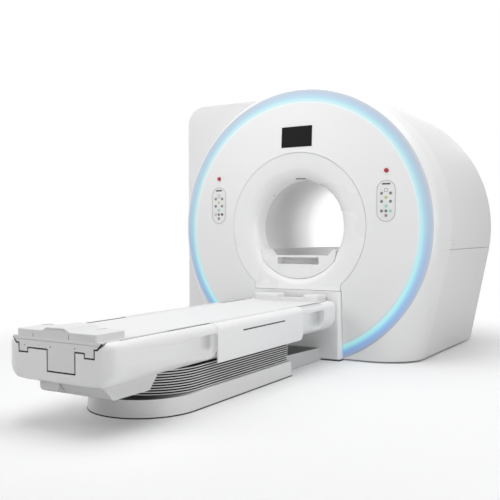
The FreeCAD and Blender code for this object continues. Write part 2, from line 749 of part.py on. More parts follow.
def display_prism(margin):
    half = size("display_width") / 2 + margin
    middle = AXIS_HEIGHT + size("display_rise")
    tall = size("display_height") / 2 + margin
    return space((-half, RING_Y - DEEP, middle - tall), (half, RING_Y + DEEP, middle + tall))


def control_prism(side, margin):
    """Pill outline of a control panel, side -1 on the left and 1 on the right."""
    half = size("control_width") / 2 + margin
    tall = size("control_height") / 2 + margin
    x = side * size("control_offset")
    z = AXIS_HEIGHT + size("control_rise")
    radius = half - NEAR
    corners = [
        (x - half, z - tall, radius),
        (x + half, z - tall, radius),
        (x + half, z + tall, radius),
        (x - half, z + tall, radius),
    ]
    return prism(rounded_wire(corners, across_y(RING_Y - DEEP)), Vector(0, 2 * DEEP, 0))


# name, column (-1, 0 or 1) and row of each button on a control panel
BUTTONS = [
    ("table_up", -1, "top_row_rise"),
    ("table_down", 1, "top_row_rise"),
    ("lamp", 0, "second_row_rise"),
    ("table_in", -1, "third_row_rise"),
    ("table_out", 1, "third_row_rise"),
    ("centre", 0, "fourth_row_rise"),
    ("fan", -1, "fifth_row_rise"),
    ("reset", 0, "fifth_row_rise"),
    ("home", 1, "fifth_row_rise"),
    ("release", 0, "bottom_row_rise"),
]
SIDES = [("left", -1), ("right", 1)]


def button_place(side, column, row):
    x = side * size("control_offset") + column * size("button_pitch")
    z = AXIS_HEIGHT + size("control_rise") + size(row)
    return x, dome_y(math.hypot(x, z - AXIS_HEIGHT)), z


def stop_place(side):
    x = side * size("control_offset")
    z = AXIS_HEIGHT + size("stop_rise")
    return x, dome_y(math.hypot(x, z - AXIS_HEIGHT)), z


def button_hole(place, radius):
    x, y, z = place
    return Part.makeCylinder(radius, 2 * DEEP, Vector(x, y - DEEP, z), Vector(0, 1, 0))


def make_front():
    gap = size("cover_gap")
    holes = []
    for side_name, side in SIDES:
        for name, column, row in BUTTONS:
            hole_radius = size("button_radius") + size("button_gap")
            holes.append(button_hole(button_place(side, column, row), hole_radius))
        holes.append(button_hole(stop_place(side), size("stop_radius") + size("button_gap")))
    all_holes = Part.makeCompound(holes)

    room = size("inlay_gap")
    seat_back = size("inlay_depth") + room
    seats = [display_prism(room)] + [control_prism(side, room) for side_name, side in SIDES]
    seat_layer = dome_layer(-PAST, seat_back)
    cover = dome_layer(0, WALL)
    cover = cover.cut(bore_cylinder(size("keyhole_radius") + gap, RING_Y - DEEP, RING_Y + DEEP))
    cover = cover.cut(column_room(gap))
    for seat in seats:
        cover = cover.cut(seat.common(seat_layer))
    cover = cover.cut(all_holes).common(above_floor())
    shaped("front_cover", largest(cover))

    inlay_layer = dome_layer(-size("inlay_proud"), size("inlay_depth"))
    shaped("display_screen", one_solid(inlay_layer.common(display_prism(0))))
    for side_name, side in SIDES:
        panel = inlay_layer.common(control_prism(side, 0)).cut(all_holes)
        shaped("control_panel_" + side_name, one_solid(panel))


def make_buttons():
    for side_name, side in SIDES:
        for name, column, row in BUTTONS:
            x, y, z = button_place(side, column, row)
            label = "button_%s_%s" % (name, side_name)
            button = doc.addObject("Part::Cylinder", label + "_core")
            bind(button, "Radius", "button_radius")
            bind(button, "Height", "button_length")
            start = Vector(x, y - size("button_proud"), z)
            button.Placement = Placement(start, Rotation(Vector(1, 0, 0), -90))
            crowned = doc.addObject("Part::Chamfer", label)
            crowned.Base = button
            crowned.Edges = [(front_edge(button), size("button_chamfer"), size("button_chamfer"))]
            keep(crowned, label)
        x, y, z = stop_place(side)
        label = "stop_button_" + side_name
        stop = doc.addObject("Part::Cylinder", label + "_core")
        bind(stop, "Radius", "stop_radius")
        bind(stop, "Height", "stop_length")
        start = Vector(x, y - size("stop_proud"), z)
        stop.Placement = Placement(start, Rotation(Vector(1, 0, 0), -90))
        crowned = doc.addObject("Part::Fillet", label)
        crowned.Base = stop
        crowned.Edges = [(front_edge(stop), size("stop_rounding"), size("stop_rounding"))]
        keep(crowned, label)


def front_edge(cylinder):
    """Number of the round edge nearest the viewer's side of a button."""
    doc.recompute()
    round_edges_found = [(edge.BoundBox.YMin, number)
                         for number, edge in enumerate(cylinder.Shape.Edges, start=1)
                         if len(edge.Vertexes) == 1]
    return min(round_edges_found)[1]


def make_light_ring():
    """Light guide between the front cover and the collar, open where the column stands."""
    outer = size("ring_outer_radius") - size("inlay_gap")
    inner = size(RING_INNER)
    back = size("ring_thickness")
    set_back = size("ring_set_back")
    start = profile_point(inner, RING_Y)
    end = profile_point(outer, RING_Y + set_back)
    middle = profile_point((inner + outer) / 2, RING_Y + set_back / 2 - size("ring_bulge"))
    back_end = profile_point(outer, RING_Y + set_back + back)
    back_start = profile_point(inner, RING_Y + back)
    edges = [
        Part.Arc(start, middle, end).toShape(),
        Part.LineSegment(end, back_end).toShape(),
        Part.LineSegment(back_end, back_start).toShape(),
        Part.LineSegment(back_start, start).toShape(),
    ]
    ring = turned(edges).cut(column_room(size("cover_gap")))
    shaped("light_ring", largest(ring.common(above_floor())))


# ---------------------------------------------------------------------------------------------
# Bore: funnels, liner and patient bridge
# ---------------------------------------------------------------------------------------------

def flare(mouth_radius, lip_radius, mouth_y, throat_y, wall):
    """Funnel from a wide, nearly flat mouth that rounds over a lip into the patient bore."""
    throat_radius = size("patient_bore_radius")
    inward = 1 if throat_y > mouth_y else -1
    lip_middle = profile_point(throat_radius + lip_radius,
                               mouth_y + inward * (size("funnel_drop") + lip_radius))

    def face_of(trim):
        """Mouth, start, middle and end of the lip's arc, and end of the collar behind it."""
        reach = lip_radius - trim
        mouth = profile_point(mouth_radius, mouth_y + inward * trim)
        to_mouth = mouth - lip_middle
        bearing = math.atan2(inward * to_mouth.y, to_mouth.x) - math.acos(reach / to_mouth.Length)

        def on_lip(angle):
            return lip_middle + Vector(reach * math.cos(angle), inward * reach * math.sin(angle), 0)
        return (mouth, on_lip(bearing), on_lip((bearing - math.pi) / 2), on_lip(-math.pi),
                profile_point(throat_radius + trim, throat_y))

    front, back = face_of(0), face_of(wall)
    edges = [Part.LineSegment(front[0], back[0]).toShape(),
             Part.LineSegment(front[-1], back[-1]).toShape()]
    for mouth, lip_start, lip_top, lip_end, collar_end in (front, back):
        edges.append(Part.LineSegment(mouth, lip_start).toShape())
        edges.append(Part.Arc(lip_start, lip_top, lip_end).toShape())
        edges.append(Part.LineSegment(lip_end, collar_end).toShape())
    return turned(edges)


def cap_form(margin, front, back):
    """Body of the bridge's front cap: flat on top, with straight sides down to a round belly."""
    half = size("cap_half_width") + margin
    top = size(BED_TOP) + margin
    belly = bore_cylinder(size("cap_radius") + margin, front, back)
    return belly.common(space((-half, front, 0), (half, back, top)))


def channel_form(start, end):
    """Shallow channel along the top of the patient bridge."""
    half = size("bed_channel_half_width")
    floor_half = size("bed_channel_floor_half_width")
    top = size(BED_TOP)
    bottom = top - size("bed_channel_depth")
    corner = size("bed_channel_corner")
    corners = [(-half, top + PAST, 0), (-half, top, 0), (-floor_half, bottom, corner),
               (floor_half, bottom, corner), (half, top, 0), (half, top + PAST, 0)]
    return prism(rounded_wire(corners, across_y(start)), Vector(0, end - start, 0))


def make_bore():
    gap = size("inlay_gap")
    wall = size("liner_wall")
    bore = size("patient_bore_radius")
    front_y = RING_Y - size("keyhole_advance")
    throat_y = RING_Y + size("throat_setback")
    back_y = size(GANTRY_BACK)
    rear_throat_y = back_y - size("rear_funnel_depth")

    # front funnel with the flat corners of its neck, cut out for the bridge's cap
    keyhole = size("keyhole_radius")
    funnel = flare(keyhole, size("front_lip_radius"), front_y, throat_y, wall)
    neck_half = size("neck_half_width")
    neck_low = size("column_top_height + cover_gap")
    neck = space((-neck_half, front_y, neck_low), (neck_half, front_y + wall, AXIS_HEIGHT))
    neck = neck.cut(bore_cylinder(keyhole - wall, front_y - PAST, throat_y))
    funnel = funnel.fuse(neck).cut(cap_form(size("cap_gap"), front_y - PAST, throat_y + PAST))
    funnel = funnel.common(space((-FAR, -FAR, neck_low), (FAR, FAR, FAR)))
    shaped("funnel_cover", largest(funnel.removeSplitter()))

    # bridge cap with its channel and slot
    cap_front = front_y + size("cap_setback")
    cap = cap_form(0, cap_front, throat_y - gap)
    cap = cap.cut(channel_form(front_y - PAST, throat_y + PAST))
    slot_half = size("slot_half_width")
    slot_top = AXIS_HEIGHT - size("slot_top_drop")
    slot = space((-slot_half, front_y - PAST, slot_top - size("slot_height")),
                 (slot_half, front_y + size("slot_depth"), slot_top))
    shaped("bridge_cap", one_solid(cap.cut(slot)))

    # bridge bed along the bore
    segment = bore_cylinder(bore - gap, throat_y, rear_throat_y)
    segment = segment.common(space((-FAR, throat_y, 0), (FAR, rear_throat_y, size(BED_TOP))))
    thin = size("bed_wall")
    hollow_top = size(BED_TOP) - size("bed_channel_depth") - thin
    hollow = bore_cylinder(bore - gap - thin, throat_y - PAST, rear_throat_y + PAST)
    hollow = hollow.common(space((-FAR, -FAR, 0), (FAR, FAR, hollow_top)))
    bed = segment.cut(channel_form(throat_y - PAST, rear_throat_y + PAST)).cut(hollow)
    shaped("bridge_bed", one_solid(bed))

    # liner
    liner = cut("bore_liner",
                rod("liner_outside", "patient_bore_radius + liner_wall",
                    "ring_reach - throat_setback - rear_funnel_depth + " + GANTRY_BACK,
                    ("0", "-ring_reach + throat_setback", "bore_axis_height")),
                rod("liner_inside", "patient_bore_radius", "ring_reach + " + GANTRY_BACK,
                    ("0", "-ring_reach", "bore_axis_height")))
    keep(liner, "bore_liner")

    # rear cover with its funnel
    back_outline = shell_outline(size(SHELL_REAR) - WALL,
                                 size(SHELL_REAR) - size("rear_foot_inset") - WALL, back_y - WALL)
    plate = prism(back_outline, Vector(0, WALL, 0))
    plate = plate.common(side_form(WALL + gap)).common(above_floor())
    plate = plate.cut(bore_cylinder(size("rear_mouth_radius"), back_y - DEEP, back_y + PAST))
    trumpet = flare(size("rear_mouth_radius"), size("rear_lip_radius"), back_y, rear_throat_y, wall)
    shaped("rear_cover", one_solid(plate.fuse(trumpet).removeSplitter()))


def make_column_cover():
    """Box-shaped cover below the bore, open at its back and foot."""
    body = doc.addObject("PartDesign::Body", "column_cover")
    outline = corner_sketch(body, "column_front", "XZ_Plane", "ring_reach + column_advance", [
        ("-column_half_width", "floor_gap"),
        ("column_half_width", "floor_gap"),
        ("column_half_width", "column_top_height"),
        ("-column_half_width", "column_top_height"),
    ])
    solid = pad(body, "column_block", outline, "column_depth", backwards=True)
    front_y = size(COLUMN_FRONT)
    round_edges(body, "column_edges", solid, "column_edge_radius",
                lambda middle, along: abs(middle.y - front_y) < 1 and abs(along.z) > 0.9)
    inside_front = "ring_reach + column_advance - cover_wall"
    inside = corner_sketch(body, "column_inside", "XZ_Plane", inside_front, [
        ("-column_half_width + cover_wall", "-floor_gap"),
        ("column_half_width - cover_wall", "-floor_gap"),
        ("column_half_width - cover_wall", "column_top_height - cover_wall"),
        ("-column_half_width + cover_wall", "column_top_height - cover_wall"),
    ])
    pocket(body, "column_hollow", inside, "column_depth")
    keep(body, "column_cover")


# ---------------------------------------------------------------------------------------------
# Magnet inside the covers
# ---------------------------------------------------------------------------------------------

def make_magnet():
    # cryostat with its service turret
    tube = cut("vessel_tube",
               rod("vessel_outside", VESSEL_OUTER, VESSEL_REACH + " * 2",
                   ("0", "-" + VESSEL_REACH, "bore_axis_height")),
               rod("vessel_inside", VESSEL_INNER, VESSEL_REACH + " * 4",
                   ("0", "-%s * 2" % VESSEL_REACH, "bore_axis_height")))
    doc.recompute()
    rounded = doc.addObject("Part::Fillet", "vessel_rounded")
    rounded.Base = tube
    radius = size("vessel_edge_radius")
    outer = size(VESSEL_OUTER)
    rounded.Edges = [(number, radius, radius) for number, edge in enumerate(tube.Shape.Edges, start=1)
                     if len(edge.Vertexes) == 1 and abs(edge.Curve.Radius - outer) < 1]
    middle_of_wall = "(%s + %s) / 2" % (VESSEL_OUTER, VESSEL_INNER)
    turret_length = "%s + turret_height - %s" % (VESSEL_OUTER, middle_of_wall)
    turret = rod("vessel_turret", "turret_radius", turret_length,
                 ("0", "0", "bore_axis_height + " + middle_of_wall), upright=True)
    keep(fuse("magnet_vessel", [rounded, turret]), "magnet_vessel")

    for label, outside, inside, inset in (
            ("gradient_coil", GRADIENT_OUTER, GRADIENT_INNER, "gradient_inset"),
            ("body_coil", COIL_OUTER, COIL_INNER, "coil_inset")):
        reach = "(%s - %s)" % (VESSEL_REACH, inset)
        outer_rod = rod(label + "_outside", outside, reach + " * 2",
                        ("0", "-" + reach, "bore_axis_height"))
        inner_rod = rod(label + "_inside", inside, reach + " * 4",
                        ("0", "-%s * 2" % reach, "bore_axis_height"))
        keep(cut(label, outer_rod, inner_rod), label)

    # two saddles on floor plates, drilled for the floor anchors
    for label, sign in (("magnet_foot_front", -1), ("magnet_foot_rear", 1)):
        middle = "%d * foot_spacing / 2" % sign
        reach = "(anchor_spacing / 2 + anchor_edge)"
        saddle_reach = "(anchor_spacing / 2 - anchor_room)"
        start = middle + " - foot_width / 2"
        plate = block(label + "_plate", ("-" + reach, start, "0"),
                      (reach + " * 2", "foot_width", "foot_plate"))
        saddle = block(label + "_saddle", ("-" + saddle_reach, start, "0"),
                       (saddle_reach + " * 2", "foot_width", "bore_axis_height"))
        seat = rod(label + "_seat", VESSEL_OUTER, "foot_width * 3",
                   ("0", "%s - foot_width * 3 / 2" % middle, "bore_axis_height"))
        holes = [rod("%s_anchor_%d" % (label, end + 1), "anchor_hole_radius", "foot_plate * 3",
                     ("%d * anchor_spacing / 2" % end, middle, "-foot_plate"), upright=True)
                 for end in (-1, 1)]
        solid = cut(label + "_cradle", fuse(label + "_block", [plate, saddle]), seat)
        keep(cut(label, solid, fuse(label + "_holes", holes)), label)


# ---------------------------------------------------------------------------------------------
# Couch base, lift column and bellows
# ---------------------------------------------------------------------------------------------

def base_outline(half, foot, head, corner, z):
    """Plan of the couch base and bellows: half round at the foot, square at the head end."""
    round_end = half - NEAR
    corners = [(half, foot, round_end), (half, head, corner), (-half, head, corner),
               (-half, foot, round_end)]
    return rounded_wire(corners, flat_at(z))


def base_form(inset, low, high):
    """Couch base, slightly narrower towards its top and with its top edge broken."""
    draft = size("base_draft")
    edge = size("base_edge")
    outlines = []
    for z, narrower in ((low, 0), (high - edge, draft), (high, draft + edge)):
        drawn_in = inset + narrower
        outlines.append(base_outline(size("base_half_width") - drawn_in, size(BASE_FOOT) + drawn_in,
                                     size(BASE_HEAD) - inset, size("base_corner_radius"), z))
    return Part.makeLoft(outlines, True, True)


def column_space(half_width, half_length, low, high):
    middle = size(LIFT_MIDDLE)
    return space((-half_width, middle - half_length, low), (half_width, middle + half_length, high))


def make_couch_base():
    top = size("base_height")
    low = size("base_floor_gap")
    opening_gap = size("column_opening_gap")
    cover = base_form(0, low, top).cut(base_form(WALL, low - NEAR, top - WALL))
    cover = cover.cut(column_space(size("lift_outer_half_width") + opening_gap,
                                   size("lift_outer_half_length") + opening_gap, 0, top + PAST))
    shaped("couch_base_cover", cover)

    plate = doc.addObject("PartDesign::Body", "couch_base_plate")
    corner = "base_half_width - cover_wall - base_draft"
    start = BASE_FOOT + " + base_half_width"
    end = BASE_HEAD + " - cover_wall - base_corner_radius"
    outline = corner_sketch(plate, "plate_outline", "XY_Plane", "0", [
        ("-(%s)" % corner, start), (corner, start), (corner, end), ("-(%s)" % corner, end)])
    pad(plate, "plate_pad", outline, "base_plate_thickness")
    anchors = [("%d * couch_anchor_across / 2" % across,
                LIFT_MIDDLE + " + %d * couch_anchor_along / 2" % along)
               for across in (-1, 1) for along in (-1, 1)]
    holes = circle_sketch(plate, "anchor_circles", "XY_Plane", "0", "couch_anchor_radius", anchors)
    pocket(plate, "anchor_holes", holes, "base_plate_thickness")
    keep(plate, "couch_base_plate")

    # wedge cover between the base and the column
    def wedge(inset):
        sections = []
        stations = ((size(BASE_HEAD) + size("wedge_gap") + inset, size("wedge_near_height")),
                    (size(COLUMN_FRONT) - size("wedge_gap") - inset, size("wedge_far_height")))
        for y, height in stations:
            foot_half = size("wedge_foot_half_width") - inset
            top_half = size("wedge_top_half_width") - inset
            base = low - inset
            edge = max(size("wedge_edge_radius") - inset, size("wedge_inner_radius"))
            corners = [(-foot_half, base, 0), (foot_half, base, 0),
                       (top_half, height - inset, edge), (-top_half, height - inset, edge)]
            sections.append(rounded_wire(corners, across_y(y)))
        return Part.makeLoft(sections, True, True)
    shaped("couch_wedge_cover", wedge(0).cut(wedge(WALL)))


def lift_stage(label, shrink, bottom, top):
    """Rectangular tube of the lift column; shrink is its outside inside the fixed stage's outside."""
    def tube(name, inset, low, tall):
        return block(name,
                     ("-(lift_outer_half_width - %s)" % inset,
                      "%s - (lift_outer_half_length - %s)" % (LIFT_MIDDLE, inset), low),
                     ("(lift_outer_half_width - %s) * 2" % inset,
                      "(lift_outer_half_length - %s) * 2" % inset, tall))
    outside = tube(label + "_outside", shrink, bottom, "%s - %s" % (top, bottom))
    inside = tube(label + "_inside", "(%s + lift_wall)" % shrink, "%s - 1" % bottom,
                  "%s - %s + 2" % (top, bottom))
    keep(cut(label, outside, inside), label)


def make_lift():
    foot = "base_plate_thickness"
    plate_low = "(%s - cross_plate)" % CROSS_TOP
    fixed_top = "(%s - lift_headroom)" % plate_low
    lift_stage("lift_column_outer", "0", foot, fixed_top)
    lift_stage("lift_column_middle", "(lift_wall + lift_gap)",
               "(%s + lift_step)" % foot, "(%s + lift_top_step)" % fixed_top)
    lift_stage("lift_column_inner", "((lift_wall + lift_gap) * 2)",
               "(%s + lift_step * 2)" % foot, plate_low)
    keep(rod("lift_motor", "motor_radius", "%s - motor_headroom - %s" % (plate_low, foot),
             ("0", LIFT_MIDDLE, foot), upright=True), "lift_motor")


def make_bellows():
    """Pleated skirt between the couch base and the couch body."""
    low = size("base_height")
    high = size(COUCH_LOW) - size("bellows_clearance")
    pleats = int(size("bellows_pleats"))
    half_pitch = (high - low) / pleats / 2
    foot = size(BASE_FOOT) + size("bellows_foot_gap")
    head = size(BASE_HEAD) - size("bellows_head_gap")

    def outline(inset, z):
        return base_outline(size("bellows_half_width") - inset, foot + inset, head - inset,
                            size("bellows_corner_radius"), z)

    fold = size("bellows_fold")
    wires = [outline(fold if level % 2 == 0 else 0, low + level * half_pitch)
             for level in range(2 * pleats + 1)]
    skirt = Part.makeLoft(wires, True, True)
    core = prism(outline(fold + size("bellows_wall"), low - PAST), Vector(0, 0, high - low + 2 * PAST))
    shaped("bellows", skirt.cut(core))


# ---------------------------------------------------------------------------------------------
# Couch body and its covers
# ---------------------------------------------------------------------------------------------

def couch_form(name, inset):
    """Couch body drawn in by a wall: a long tub with a round belly, a round rim and round ends.

    The belly's rounding narrows round the foot end's corners, and is nearly sharp between them.
    """
    half = size("couch_half_width") - inset
    low = size(COUCH_LOW) + inset
    high = size("rim_height") - inset
    foot = size(COUCH_FOOT) + inset
    head = size(COUCH_HEAD) - inset
    corner = size("couch_foot_corner") - inset
    sharp = size("foot_edge_half")
    plan = rounded_wire([(-half, foot, corner), (-sharp, foot, 0), (sharp, foot, 0),
                         (half, foot, corner), (half, head, 0), (-half, head, 0)], flat_at(low))
    tub = doc.addObject("Part::Feature", name + "_tub")
    tub.Shape = prism(plan, Vector(0, 0, high - low))
    wide = size("belly_radius") - inset
    narrow = size("foot_edge_radius") - inset
    turning = size("foot_edge_end_radius") - inset
    belly = []
    for number, edge in enumerate(tub.Shape.Edges, start=1):
        if lying_at(edge, low) and edge.BoundBox.YMin < head - NEAR:
            start, end = [wide if vertex.Y > foot + NEAR
                          else turning if abs(vertex.X) > sharp + NEAR else narrow
                          for vertex in edge.Vertexes]
            belly.append((number, start, end))
    form = rolled(name, tub, belly)
    rim = [edge for edge in form.Edges
           if lying_at(edge, high) and edge.BoundBox.YMin < head - NEAR]
    form = form.makeFillet(size("rim_radius") - inset, rim)
    head_outline = [edge for edge in form.Edges if edge.BoundBox.YMin > head - NEAR]
    return form.makeFillet(size("couch_head_radius") - inset, head_outline)


def table_way():
    """Section that the couch body keeps clear for the tabletop's wings, runners and middle."""
    margin = size("table_gap")
    rim = size("rim_height")
    half = size("rim_inner_half_width")
    wing = size("table_wing_half_width") + margin
    outer = size("table_runner_outer") + margin
    inner = size("table_runner_inner") - margin
    chamfer = rim - size("table_chamfer_start") - margin / 2
    underside = rim - size("table_side_drop") - margin
    runner = rim - size("table_runner_drop") - margin
    core = rim - size("table_core_drop") - margin
    right = [(inner, core), (inner, runner), (outer, runner), (outer, underside),
             (wing, underside), (half, chamfer), (half, rim + PAST)]
    left = [(-x, z) for x, z in reversed(right)]
    return [(x, z, 0) for x, z in right + left]


def grip(side, start, length, depth, top, grow):
    """Space of a grip in the couch's side: it deepens towards the head and is open below."""
    face = size("couch_half_width")
    end = start + length + grow
    outside = face + size("belly_radius")
    corner = size("grip_corner_radius") + grow
    corners = [(side * outside, start - grow, 0), (side * outside, end, 0),
               (side * (face - depth - grow), end, corner), (side * (face - grow), start - grow, 0)]
    low = size(COUCH_LOW) - PAST
    form = prism(rounded_wire(corners, flat_at(low)), Vector(0, 0, top + grow - low))
    ceiling = []
    for edge in form.Edges:
        spans = [abs(vertex.X) for vertex in edge.Vertexes]
        along = edge.BoundBox.YLength
        if lying_at(edge, top + grow) and min(spans) < outside - NEAR and along > NEAR \
                and max(spans) < outside - NEAR:
            ceiling.append(edge)
    return form.makeFillet(size("grip_ceiling_radius") + grow, ceiling)


def foot_grip(side, grow):
    start = size(COUCH_FOOT) + size("foot_grip_start")
    top = size("rim_height - foot_grip_drop")
    return grip(side, start, size("foot_grip_length"), size("foot_grip_depth"), top, grow)


def head_grip(side, grow):
    start = size(COUCH_HEAD) - size("head_grip_start") - size("head_grip_length")
    top = size("rim_height - head_grip_drop")
    return grip(side, start, size("head_grip_length"), size("head_grip_depth"), top, grow)


def side_panel(side):
    """Panel over the rim and side of the couch, with a long slot for straps and a hand rail."""
    face = size("couch_half_width")
    out = face + size("side_panel_proud")
    seat = face - size("side_panel_inset")
    rim = size("rim_height")
    low = size(COUCH_LOW) - size("side_panel_overhang")
    start = size(COUCH_FOOT) + size("side_panel_start")
    end = start + size("side_panel_length")
    seat_radius = size("rim_radius") - size("side_panel_inset")
    lower_edge = size("side_panel_edge")
    ramp_start = end - size("side_panel_ramp")

    def outline(y, proud, lower, edge_radius):
        """Outer section of the panel at a station along the couch."""
        return rounded_wire([(0, lower, 0), (face + proud, lower, edge_radius),
                             (face + proud, rim + proud, size("rim_radius") + proud),
                             (0, rim + proud, 0)], across_y(y))
    proud = size("side_panel_proud")
    outer = outline(start, proud, low, lower_edge)
    ramp = Part.makeLoft([outline(ramp_start, proud, low, lower_edge),
                          outline(end, 0, low + size("side_panel_rise"), lower_edge)], True, True)
    inner = rounded_wire([(0, low - PAST, 0), (seat, low - PAST, 0),
                          (seat, rim - size("side_panel_inset"), seat_radius),
                          (0, rim - size("side_panel_inset"), 0)], across_y(start))
    skin = prism(outer, Vector(0, ramp_start - start, 0)).fuse(ramp).removeSplitter()
    skin = skin.cut(prism(inner, Vector(0, end - start, 0)))
    edge = size("rim_inner_half_width") + size("side_panel_top_inset")
    skin = skin.common(space((edge, start, 0), (FAR, end, FAR)))
    slot_start = start + size("rail_slot_start")
    slot_low = size("rim_height - rail_slot_drop")
    slot = space((out - size("rail_slot_depth"), slot_start, slot_low),
                 (FAR, slot_start + size("rail_slot_length"), slot_low + size("rail_slot_height")))
    skin = skin.cut(slot)
    if side < 0:
        skin = skin.mirror(Vector(0, 0, 0), Vector(1, 0, 0))
    return one_solid(skin)


def make_couch_body():
    foot = size(COUCH_FOOT)
    head = size(COUCH_HEAD)
    gap = size("table_gap")
    panels = {side: side_panel(side) for name, side in SIDES}

    cavity = couch_form("couch_cavity", size("couch_wall"))
    for name, side in SIDES:
        cavity = cavity.cut(foot_grip(side, size("grip_wall")))
        cavity = cavity.cut(head_grip(side, size("grip_wall")))
    shell = couch_form("couch_outside", 0).cut(cavity)
    channel = prism(rounded_wire(table_way(), across_y(foot)), Vector(0, head - foot, 0))
    keel_way = space((-size("keel_left") - gap, foot, size("rim_height - keel_drop") - gap),
                     (size("keel_right") + gap, foot + size("keel_length"), size("rim_height")))
    shell = shell.cut(channel).cut(keel_way)
    shell = shell.cut(column_space(size("lift_outer_half_width") + size("column_opening_gap"),
                                   size("lift_outer_half_length") + size("column_opening_gap"),
                                   0, size(COUCH_LOW) + 2 * WALL))
    for name, side in SIDES:
        shell = shell.cut(foot_grip(side, 0)).cut(head_grip(side, 0)).cut(panels[side])
    shaped("couch_body", largest(shell))
    for name, side in SIDES:
        shaped("couch_side_panel_" + name, panels[side])


def make_foot_pan():
    """Tray under the foot end of the couch, in two halves: the left one is the narrower."""
    foot = size(COUCH_FOOT)
    top = size(COUCH_LOW)

    def tray(inset, lid):
        left = inset - size("pan_left")
        right = size("pan_right") - inset
        low = top - size("pan_height") + inset
        top_start = foot + size("pan_top_start") + inset
        bottom_start = foot + size("pan_bottom_start") + inset
        bottom_end = foot + size("pan_bottom_end") - inset
        top_end = foot + size("pan_top_end") - inset
        edge = size("pan_edge_radius") - inset
        side = rounded_wire([(top_start, top + lid, 0), (top_start, top, 0), (bottom_start, low, edge),
                             (bottom_end, low, edge), (top_end, top, 0), (top_end, top + lid, 0)],
                            upright_at(left))
        form = prism(side, Vector(right - left, 0, 0))
        corner = size("pan_corner_radius") - inset
        plan = rounded_wire([(left, top_start, 0), (right, top_start, corner),
                             (right, top_end, 0), (left, top_end, 0)], flat_at(low))
        return form.common(prism(plan, Vector(0, 0, FAR)))
    collar = size("pan_collar")
    tray_shell = tray(0, collar).cut(tray(size("pan_wall"), collar + PAST))
    seam = size("pan_seam_width") / 2
    seam_space = space((-seam, foot, 0), (seam, size(COUCH_HEAD), top))
    tray_shell = tray_shell.cut(seam_space.cut(tray(size("pan_seam_depth"), collar + PAST)))
    shaped("foot_pan", one_solid(tray_shell.cut(couch_form("couch_over_pan", 0))))


# ---------------------------------------------------------------------------------------------
# Couch frame and tabletop
# ---------------------------------------------------------------------------------------------

def make_couch_frame():
    """Two box beams that carry the tabletop's runners, on cross plates over the lift column.

    Posts under the outer cross plates stand on the floor of the couch body.
    """
    length = "couch_length - beam_start - beam_end"
    start = COUCH_FOOT + " + beam_start"
    pieces = []
    for name, low_x in (("left", "-beam_inner_half_width - beam_width"),
                        ("right", "beam_inner_half_width")):
        outside = block("beam_%s_outside" % name, (low_x, start, CROSS_TOP),
                        ("beam_width", length, "%s - %s" % (BEAM_TOP, CROSS_TOP)))
        inside = block("beam_%s_inside" % name,
                       (low_x + " + beam_wall", start + " - 1", CROSS_TOP + " + beam_wall"),
                       ("beam_width - beam_wall * 2", length + " + 2",
                        "%s - %s - beam_wall * 2" % (BEAM_TOP, CROSS_TOP)))
        pieces.append(cut("beam_" + name, outside, inside))
    reach = "(beam_inner_half_width + beam_width)"
    low = CROSS_TOP + " - cross_plate"
    body_floor = "(%s + couch_wall)" % COUCH_LOW
    for name, middle in (("foot", COUCH_FOOT + " + cross_plate_inset"),
                         ("head", COUCH_HEAD + " - head_plate_inset")):
        start_y = middle + " - cross_plate_width / 2"
        pieces.append(block("cross_plate_" + name, ("-" + reach, start_y, low),
                            (reach + " * 2", "cross_plate_width", "cross_plate")))
        for side_name, low_x in (("left", "-" + reach), ("right", "beam_inner_half_width")):
            pieces.append(block("post_%s_%s" % (name, side_name), (low_x, start_y, body_floor),
                                ("beam_width", "cross_plate_width", "%s - %s" % (low, body_floor))))
    pieces.append(block("lift_plate", ("-" + reach, LIFT_MIDDLE + " - lift_outer_half_length", low),
                        (reach + " * 2", "lift_outer_half_length * 2", "cross_plate")))
    keep(fuse("couch_frame", pieces), "couch_frame")


def dish_sketch(body):
    """Shallow arc that the pocket along the tabletop follows."""
    sketch = body.newObject("Sketcher::SketchObject", "dish_section")
    sketch.AttachmentSupport = [(origin_plane(body, "XZ_Plane"), "")]
    sketch.MapMode = "FlatFace"
    bind(sketch, "AttachmentOffset.Base.z", "-(%s + cap_block_length)" % COUCH_FOOT)
    radius = "((dish_half_width ^ 2 + dish_depth ^ 2) / (2 * dish_depth))"
    centre = "(rim_height - dish_depth + %s)" % radius
    half, rim = size("dish_half_width"), size("rim_height")
    left, right = Vector(-half, rim, 0), Vector(half, rim, 0)
    lowest = Vector(0, rim - size("dish_depth"), 0)
    sketch.addGeometry(Part.Arc(left, lowest, right), False)
    sketch.addGeometry(Part.LineSegment(right, left), False)
    start_point, end_point = (1, 2) if sketch.getPoint(0, 1).x < 0 else (2, 1)
    sketch.addConstraint(Sketcher.Constraint("Coincident", 0, end_point, 1, 1))
    sketch.addConstraint(Sketcher.Constraint("Coincident", 0, start_point, 1, 2))
    places = [
        ("DistanceX", 3, "0", 0),
        ("DistanceY", 3, centre, size(centre)),
        ("DistanceX", end_point, "dish_half_width", half),
        ("DistanceY", end_point, "rim_height", rim),
        ("DistanceY", start_point, "rim_height", rim),
    ]
    for kind, point, text, value in places:
        number = sketch.addConstraint(Sketcher.Constraint(kind, -1, 1, 0, point, value))
        if ALIAS_WORD.search(text):
            bind(sketch, "Constraints[%d]" % number, text)
    return sketch


